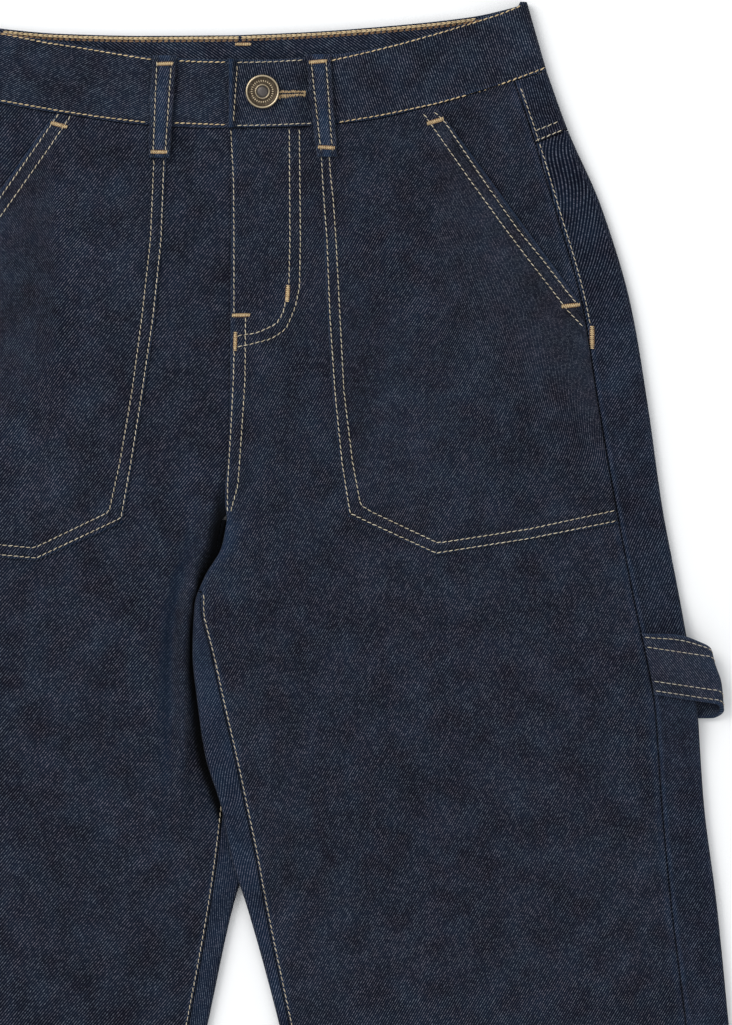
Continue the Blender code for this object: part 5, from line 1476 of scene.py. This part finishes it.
def make_topstitching():
    sizes = bpy.context.scene.jeans_sizes
    topstitch, _, gold = thread_materials()
    top = Drape(FRONT_CLOTHS + ("jeans_waistband",))
    groups = {}
    for i, row in enumerate(STITCH_ROWS):
        if row.group not in groups:
            width = sizes.thread_width * (1.35 if row.group == "waist" else 1.0)
            groups[row.group] = Thread("topstitch_" + row.group, width / 2, i + 1)
        sew(groups[row.group], top, [place(p) for p in row.pixels], row.tone, corners=row.group == "pockets")
    legs = Thread("topstitch_legs", sizes.thread_width / 2, 101)
    for side, sign in SIGN.items():
        start = waist[side]["front_seam"](sign * 0.138) - 0.004
        heights = np.linspace(float(start), 0.291, 30)
        sew(legs, top, [(sign * (float(outseam_line(y)) + 0.0020), y) for y in heights], 0.50)
        heights = np.linspace(0.156, HEM_Y + 0.004, 60)
        leg = Drape((f"jeans_front_{side}", f"jeans_back_{side}"))
        sew(legs, leg, [(float(inseam_x(side, y)) + sign * 0.0011, y) for y in heights], 0.50)
        (x0, y0), (x1, y1) = YOKE_FRONT[side]
        slope = (y1 - y0) / (x1 - x0)
        for offset in (0.0012, 0.0062):
            last = sign * (float(outer_edge(y1 + offset)) - 0.0025)
            ends = [(x, y0 + slope * (x - x0) + offset) for x in (x0, last)]
            sew(legs, top, ends, 0.65)
        heights = HEM_Y + 0.0112
        inner = sign * (abs(float(inner_edge[side](heights))) + 0.0015)
        outer = sign * (abs(float(outer_edge(heights))) - 0.0015)
        sew(legs, top, [(inner, heights), (outer, heights)], 0.6)
    bottom = Drape(BACK_CLOTHS, from_above=False)
    back = Thread("topstitch_back", sizes.thread_width / 2, 201)
    for side, sign in SIGN.items():
        _, (_, y1, yoke_back) = seam_heights(side)
        for offset in (0.0014, 0.0064):
            across = np.linspace(0.004 if sign > 0 else 0.006, 0.156, 16) * sign
            sew(back, bottom, [(x, float(yoke_back(x)) + offset) for x in across], 0.6)
        heights = HEM_Y + 0.0112
        inner = sign * (abs(float(inner_edge[side](heights))) + 0.0025)
        outer = sign * (abs(float(outer_edge(heights))) - 0.0025)
        sew(back, bottom, [(inner, heights), (outer, heights)], 0.6)
        for name, lift in (("back_seam", 0.0016), ("back_top", -0.0016)):
            line = waist[side][name]
            across = np.linspace(0.003, 0.138, 16) * sign
            sew(back, bottom, [(x, float(line(x)) + lift) for x in across], 0.7)
    for offset in (0.0014, 0.0064):
        heights = np.linspace(0.350, 0.215, 12)
        sew(back, bottom, [(float(back_seam(y)) + offset, y) for y in heights], 0.6)
    loops = Thread("topstitch_loops", sizes.thread_width / 2, 301)
    names = ["jeans_" + loop.name for loop in FRONT_BELT_LOOPS]
    over = Drape(names)
    for loop in FRONT_BELT_LOOPS:
        for side in (-1, 1):
            ends = []
            for share in (0.06, 0.94):
                half = (loop.top_width + (loop.foot_width - loop.top_width) * share) / 2 - 0.0025
                ends.append((loop.top[0] + (loop.foot[0] - loop.top[0]) * share + side * half,
                             loop.top[1] + (loop.foot[1] - loop.top[1]) * share))
            sew(loops, over, ends, 0.5)
    under = Drape(["jeans_" + loop.name for loop in BACK_BELT_LOOPS], from_above=False)
    for loop in BACK_BELT_LOOPS:
        for side in (-1, 1):
            x = loop.top[0] + side * (loop.top_width / 2 - 0.0025)
            sew(loops, under, [(x, loop.top[1] - 0.003), (x, loop.foot[1] + 0.003)], 0.5)
    for across in HAMMER_ROWS:
        sew_hammer_loop(loops, across)
    for thread in [*groups.values(), legs, back, loops]:
        thread.done(gold if thread.name == "topstitch_waist" else topstitch)


def sew_hammer_loop(thread, across):
    """Stitches along the hammer loop, round its bend and back underneath."""
    sizes = bpy.context.scene.jeans_sizes
    at = np.linspace(0.03, 2.9, 400)
    path = [hammer_loop_point(across, a) for a in at]
    distance = np.concatenate([[0], np.cumsum([(b - a).length for a, b in zip(path, path[1:])])])
    middle = Vector((HAMMER_BEND[0][1], path[0].y, HAMMER_FACE_TOP / 2))
    for i in range(int(distance[-1] / sizes.stitch_length)):
        points = []
        for k, rise in enumerate(STITCH_RISE):
            s = (i + 0.10 + 0.8 * k / (len(STITCH_RISE) - 1)) * sizes.stitch_length
            a = float(np.interp(s, distance, at))
            point = hammer_loop_point(across, a)
            outward = Vector((0, 0, 1)) if a <= 1 else Vector((0, 0, -1)) if a > 2 else \
                Vector((math.cos(math.pi / 2 - math.pi * (a - 1)), 0, math.sin(math.pi / 2 - math.pi * (a - 1))))
            points.append(point + outward * (rise * sizes.thread_width / 2))
        side = (points[2] - middle).normalized()
        thread.stitch(points, 0.50, sizes.thread_width * 0.42, side)


def make_bar_tacks():
    sizes = bpy.context.scene.jeans_sizes
    _, tack, _ = thread_materials()
    names = FRONT_CLOTHS + ("jeans_waistband",) + tuple("jeans_" + loop.name for loop in FRONT_BELT_LOOPS)
    top = Drape(names)
    tacks = Thread("bar_tacks", sizes.thread_width * 0.42, 401)
    for bar in BAR_TACKS:
        start, end = Vector(place(bar.start)), Vector(place(bar.end))
        along = (end - start).normalized()
        across = Vector((-along.y, along.x)) * (bar.width * PIXEL / 2)
        for lane in (-0.9, -0.3, 0.3, 0.9):
            tacks.lay(top, start + across * lane, end + across * lane, 0.0, lift=0.0001)
        count = round((end - start).length / (sizes.thread_width * 1.15))
        for i in range(count):
            middle = start.lerp(end, (i + 0.5) / count)
            slant = along * (sizes.thread_width * (0.9 if i % 2 else 0.2))
            reach = across * tacks.random.uniform(0.75, 1.05)
            tacks.lay(top, middle - reach - slant, middle + reach + slant, 0.7, lift=0.00032)
    tacks.done(tack)


def make_buttonhole():
    """Close stitches across both lips of the slit that shows beside the button."""
    sizes = bpy.context.scene.jeans_sizes
    _, tack, _ = thread_materials()
    top = Drape(("jeans_waistband",))
    hole = Thread("buttonhole_stitches", sizes.thread_width * 0.38, 501)
    start, end = Vector(place(BUTTONHOLE[0])), Vector(place(BUTTONHOLE[1]))
    along = (end - start).normalized()
    across = Vector((-along.y, along.x))
    count = round((end - start).length / (sizes.thread_width * 0.62))
    for i in range(count):
        middle = start.lerp(end, (i + 0.5) / count)
        for lip in (-1, 1):
            near = 1.35 - 0.5 * i / count
            reach = BUTTONHOLE_HALF * near * hole.random.uniform(0.6, 1.4) * (1.0 if lip < 0 else 0.8)
            inner = middle + across * (lip * hole.random.uniform(0.0002, 0.0005))
            outer = middle + across * (lip * reach) + along * hole.random.uniform(-0.0007, 0.0007)
            hole.lay(top, inner, outer, 0.45, lift=hole.random.uniform(0.00005, 0.0003))
    for lane in (-0.0009, -0.0003, 0.0003, 0.0009):
        offset = across * lane
        hole.lay(top, end + offset - along * 0.0008, end + offset + along * 0.0006, 0.6, lift=0.0003)
    hole.done(tack)


def make_chain_stitch():
    """The looped row inside the back of the waistband, just under its top edge."""
    sizes = bpy.context.scene.jeans_sizes
    _, tack, gold = thread_materials()
    top = Drape(("jeans_waistband",))
    chain = Thread("chain_stitch", sizes.thread_width * 0.78, 601)
    under = Thread("band_edge_stitches", sizes.thread_width * 0.55, 602)
    for side, sign in SIGN.items():
        line = waist[side]["back_top"]
        across = np.linspace(0.0005, 0.120, 30) * sign
        path = densely([(x, float(line(x * 0.965)) - 0.0013) for x in across])
        distance = np.concatenate([[0], np.cumsum(np.hypot(*np.diff(path, axis=0).T))])
        pitch = sizes.stitch_length * 0.85
        for i in range(int(distance[-1] / pitch)):
            begin = [np.interp((i + 0.02) * pitch, distance, path[:, k]) for k in (0, 1)]
            finish = [np.interp((i + 1.10) * pitch, distance, path[:, k]) for k in (0, 1)]
            for strand in (-1, 1):
                chain.lay(top, (begin[0], begin[1] + strand * 0.00046), (finish[0], finish[1] + strand * 0.00020),
                          0.80, lift=0.00015)
        for offset in (0.0023, 0.0029):
            edging = densely([(x, float(line(x * 0.965)) - offset) for x in across])
            sew(under, top, edging, 0.0, corners=True)
    chain.done(gold)
    under.done(tack)


def make_stage():
    """The floor, the soft studio light and the camera straight above."""
    sizes = bpy.context.scene.jeans_sizes
    scene = bpy.context.scene
    bpy.ops.mesh.primitive_plane_add(size=8.0, location=(0, 0, -0.0006))
    floor = bpy.context.object
    floor.name = "floor"
    floor.data.materials.append(floor_finish())
    scene.view_settings.view_transform = "Standard"
    scene.view_settings.look = "None"
    world = scene.world or bpy.data.worlds.new("studio")
    scene.world = world
    world.use_nodes = True
    background = world.node_tree.nodes["Background"]
    background.inputs["Color"].default_value = (0.96, 0.98, 1.0, 1.0)
    background.inputs["Strength"].default_value = 0.78
    for name, power, size, spot in (("key_light", 31.0, 1.3, (-1.25, 1.35, 1.5)),
                                    ("fill_light", 8.0, 2.0, (1.6, -1.2, 1.6))):
        data = bpy.data.lights.new(name, "AREA")
        data.energy, data.size = power, size
        light = bpy.data.objects.new(name, data)
        light.location = spot
        aim = Vector((0.05, 0.15, 0.0)) - light.location
        light.rotation_euler = aim.to_track_quat("-Z", "Y").to_euler()
        scene.collection.objects.link(light)
    camera = bpy.data.cameras.new("camera")
    middle = place((PHOTO_SIZE[0] / 2, PHOTO_SIZE[1] / 2))
    camera.sensor_width = 36.0
    camera.lens = camera.sensor_width * (sizes.camera_height - 0.005) / (PHOTO_SIZE[1] * PIXEL)
    view = bpy.data.objects.new("camera", camera)
    view.location = (*middle, sizes.camera_height)
    scene.collection.objects.link(view)
    scene.camera = view


class JeansSizes(bpy.types.PropertyGroup):
    """Sizes that a user would change."""

    stitch_length: FloatProperty(name="Stitch length", description="From one topstitch to the next",
                                 default=0.00295, min=0.0015, max=0.006, unit="LENGTH", precision=5)
    thread_width: FloatProperty(name="Thread width", description="Width of the topstitching thread",
                                default=0.00043, min=0.0002, max=0.001, unit="LENGTH", precision=5)
    twill_pitch: FloatProperty(name="Twill pitch", description="From one slanting ridge of the twill to the next",
                               default=0.00094, min=0.0004, max=0.003, unit="LENGTH", precision=5)
    camera_height: FloatProperty(name="Camera height", description="How high the camera hangs over the floor",
                                 default=3.0, min=1.0, max=10.0, unit="LENGTH")


def colour_property(name, description, default):
    return FloatVectorProperty(name=name, description=description, default=default, size=3, min=0.0, max=1.0,
                               subtype="COLOR")


class JeansColours(bpy.types.PropertyGroup):
    """Colours that a user would change."""

    indigo: colour_property("Indigo", "The dark warp", (0.0009, 0.0015, 0.0062))
    weft: colour_property("Weft", "The paler weft that shows between the warp", (0.170, 0.176, 0.213))
    # The colour of worn places, and also of the painted shade in the valley beside the crotch's ridge.
    faded_and_valley_shade: colour_property("Faded blue", "Folded edges and worn places", (0.0030, 0.0082, 0.0200))
    thread: colour_property("Thread", "The lighter shade of the topstitching", (0.70, 0.62, 0.46))
    thread_dark: colour_property("Thread, dark", "Its darker shade", (0.34, 0.27, 0.17))
    gold: colour_property("Gold thread", "The lighter shade of the waistband's rows", (0.66, 0.50, 0.28))
    gold_dark: colour_property("Gold thread, dark", "Its darker shade", (0.26, 0.17, 0.075))
    tack: colour_property("Tack thread", "The lighter shade of the bar tacks", (0.80, 0.60, 0.32))
    tack_dark: colour_property("Tack thread, dark", "Its darker shade", (0.18, 0.085, 0.030))
    brass: colour_property("Brass", "The rubbed rims of the button", (0.56, 0.46, 0.31))
    patina: colour_property("Patina", "The hollows of the button", (0.060, 0.045, 0.032))


class Piece:
    """What the operators have in common. Each names the function that builds its pieces."""

    bl_options = {"REGISTER", "UNDO"}

    def execute(self, context):
        self.build()
        return {"FINISHED"}


class JEANS_OT_fronts(Piece, bpy.types.Operator):
    """Lay the two front panels"""

    bl_idname = "jeans.fronts"
    bl_label = "Front Panels"
    build = staticmethod(make_fronts)


class JEANS_OT_backs(Piece, bpy.types.Operator):
    """Lay the two back panels, rolled round to the front at their sides"""

    bl_idname = "jeans.backs"
    bl_label = "Back Panels"
    build = staticmethod(make_backs)


class JEANS_OT_yokes(Piece, bpy.types.Operator):
    """Lay the two back yokes"""

    bl_idname = "jeans.yokes"
    bl_label = "Back Yokes"
    build = staticmethod(make_yokes)


class JEANS_OT_patch_pockets(Piece, bpy.types.Operator):
    """Lay the two patch pockets on the fronts"""

    bl_idname = "jeans.patch_pockets"
    bl_label = "Patch Pockets"
    build = staticmethod(make_patch_pockets)


class JEANS_OT_waistband(Piece, bpy.types.Operator):
    """Close the waistband round the waist"""

    bl_idname = "jeans.waistband"
    bl_label = "Waistband"
    build = staticmethod(make_waistband)


class JEANS_OT_belt_loops(Piece, bpy.types.Operator):
    """Set the belt loops over the waistband"""

    bl_idname = "jeans.belt_loops"
    bl_label = "Belt Loops"
    build = staticmethod(make_belt_loops)


class JEANS_OT_hammer_loop(Piece, bpy.types.Operator):
    """Set the hammer loop in the left outseam"""

    bl_idname = "jeans.hammer_loop"
    bl_label = "Hammer Loop"
    build = staticmethod(make_hammer_loop)


class JEANS_OT_button(Piece, bpy.types.Operator):
    """Set the tack button"""

    bl_idname = "jeans.button"
    bl_label = "Button"
    build = staticmethod(make_button)


class JEANS_OT_zip(Piece, bpy.types.Operator):
    """Finish the zip behind the fly"""

    bl_idname = "jeans.zip"
    bl_label = "Zip"
    build = staticmethod(finish_zip)


class JEANS_OT_topstitching(Piece, bpy.types.Operator):
    """Sew the rows of topstitching"""

    bl_idname = "jeans.topstitching"
    bl_label = "Topstitching"
    build = staticmethod(make_topstitching)


class JEANS_OT_bar_tacks(Piece, bpy.types.Operator):
    """Sew the bar tacks"""

    bl_idname = "jeans.bar_tacks"
    bl_label = "Bar Tacks"
    build = staticmethod(make_bar_tacks)


class JEANS_OT_buttonhole(Piece, bpy.types.Operator):
    """Sew the buttonhole"""

    bl_idname = "jeans.buttonhole"
    bl_label = "Buttonhole"
    build = staticmethod(make_buttonhole)


class JEANS_OT_chain_stitch(Piece, bpy.types.Operator):
    """Sew the chain stitch inside the waistband"""

    bl_idname = "jeans.chain_stitch"
    bl_label = "Chain Stitch"
    build = staticmethod(make_chain_stitch)


class JEANS_OT_stage(Piece, bpy.types.Operator):
    """Set the floor, the light and the camera"""

    bl_idname = "jeans.stage"
    bl_label = "Stage"
    build = staticmethod(make_stage)


OPERATORS = (JEANS_OT_fronts, JEANS_OT_backs, JEANS_OT_yokes, JEANS_OT_patch_pockets, JEANS_OT_waistband,
             JEANS_OT_belt_loops, JEANS_OT_hammer_loop, JEANS_OT_button, JEANS_OT_zip, JEANS_OT_topstitching,
             JEANS_OT_bar_tacks, JEANS_OT_buttonhole, JEANS_OT_chain_stitch, JEANS_OT_stage)


class JEANS_PT_panel(bpy.types.Panel):
    """The jeans' pieces, sizes and colours"""

    bl_idname = "JEANS_PT_panel"
    bl_label = "Flat Work Jeans"
    bl_space_type = "VIEW_3D"
    bl_region_type = "UI"
    bl_category = "Jeans"

    def draw(self, context):
        for group in (context.scene.jeans_sizes, context.scene.jeans_colours):
            box = self.layout.box()
            for name in group.__annotations__:
                box.prop(group, name)
        for operator in OPERATORS:
            self.layout.operator(operator.bl_idname)


CLASSES = (JeansSizes, JeansColours, *OPERATORS, JEANS_PT_panel)


def register():
    for made in CLASSES:
        bpy.utils.register_class(made)
    bpy.types.Scene.jeans_sizes = PointerProperty(type=JeansSizes)
    bpy.types.Scene.jeans_colours = PointerProperty(type=JeansColours)


def unregister():
    del bpy.types.Scene.jeans_colours
    del bpy.types.Scene.jeans_sizes
    for made in reversed(CLASSES):
        bpy.utils.unregister_class(made)


def main():
    for old in list(bpy.context.scene.objects):
        if old.name in ("Cube", "Light", "Camera"):
            bpy.data.objects.remove(old)
    register()
    for operator in OPERATORS:
        getattr(bpy.ops.jeans, operator.bl_idname.split(".")[1])()


if __name__ == "__main__":
    main()
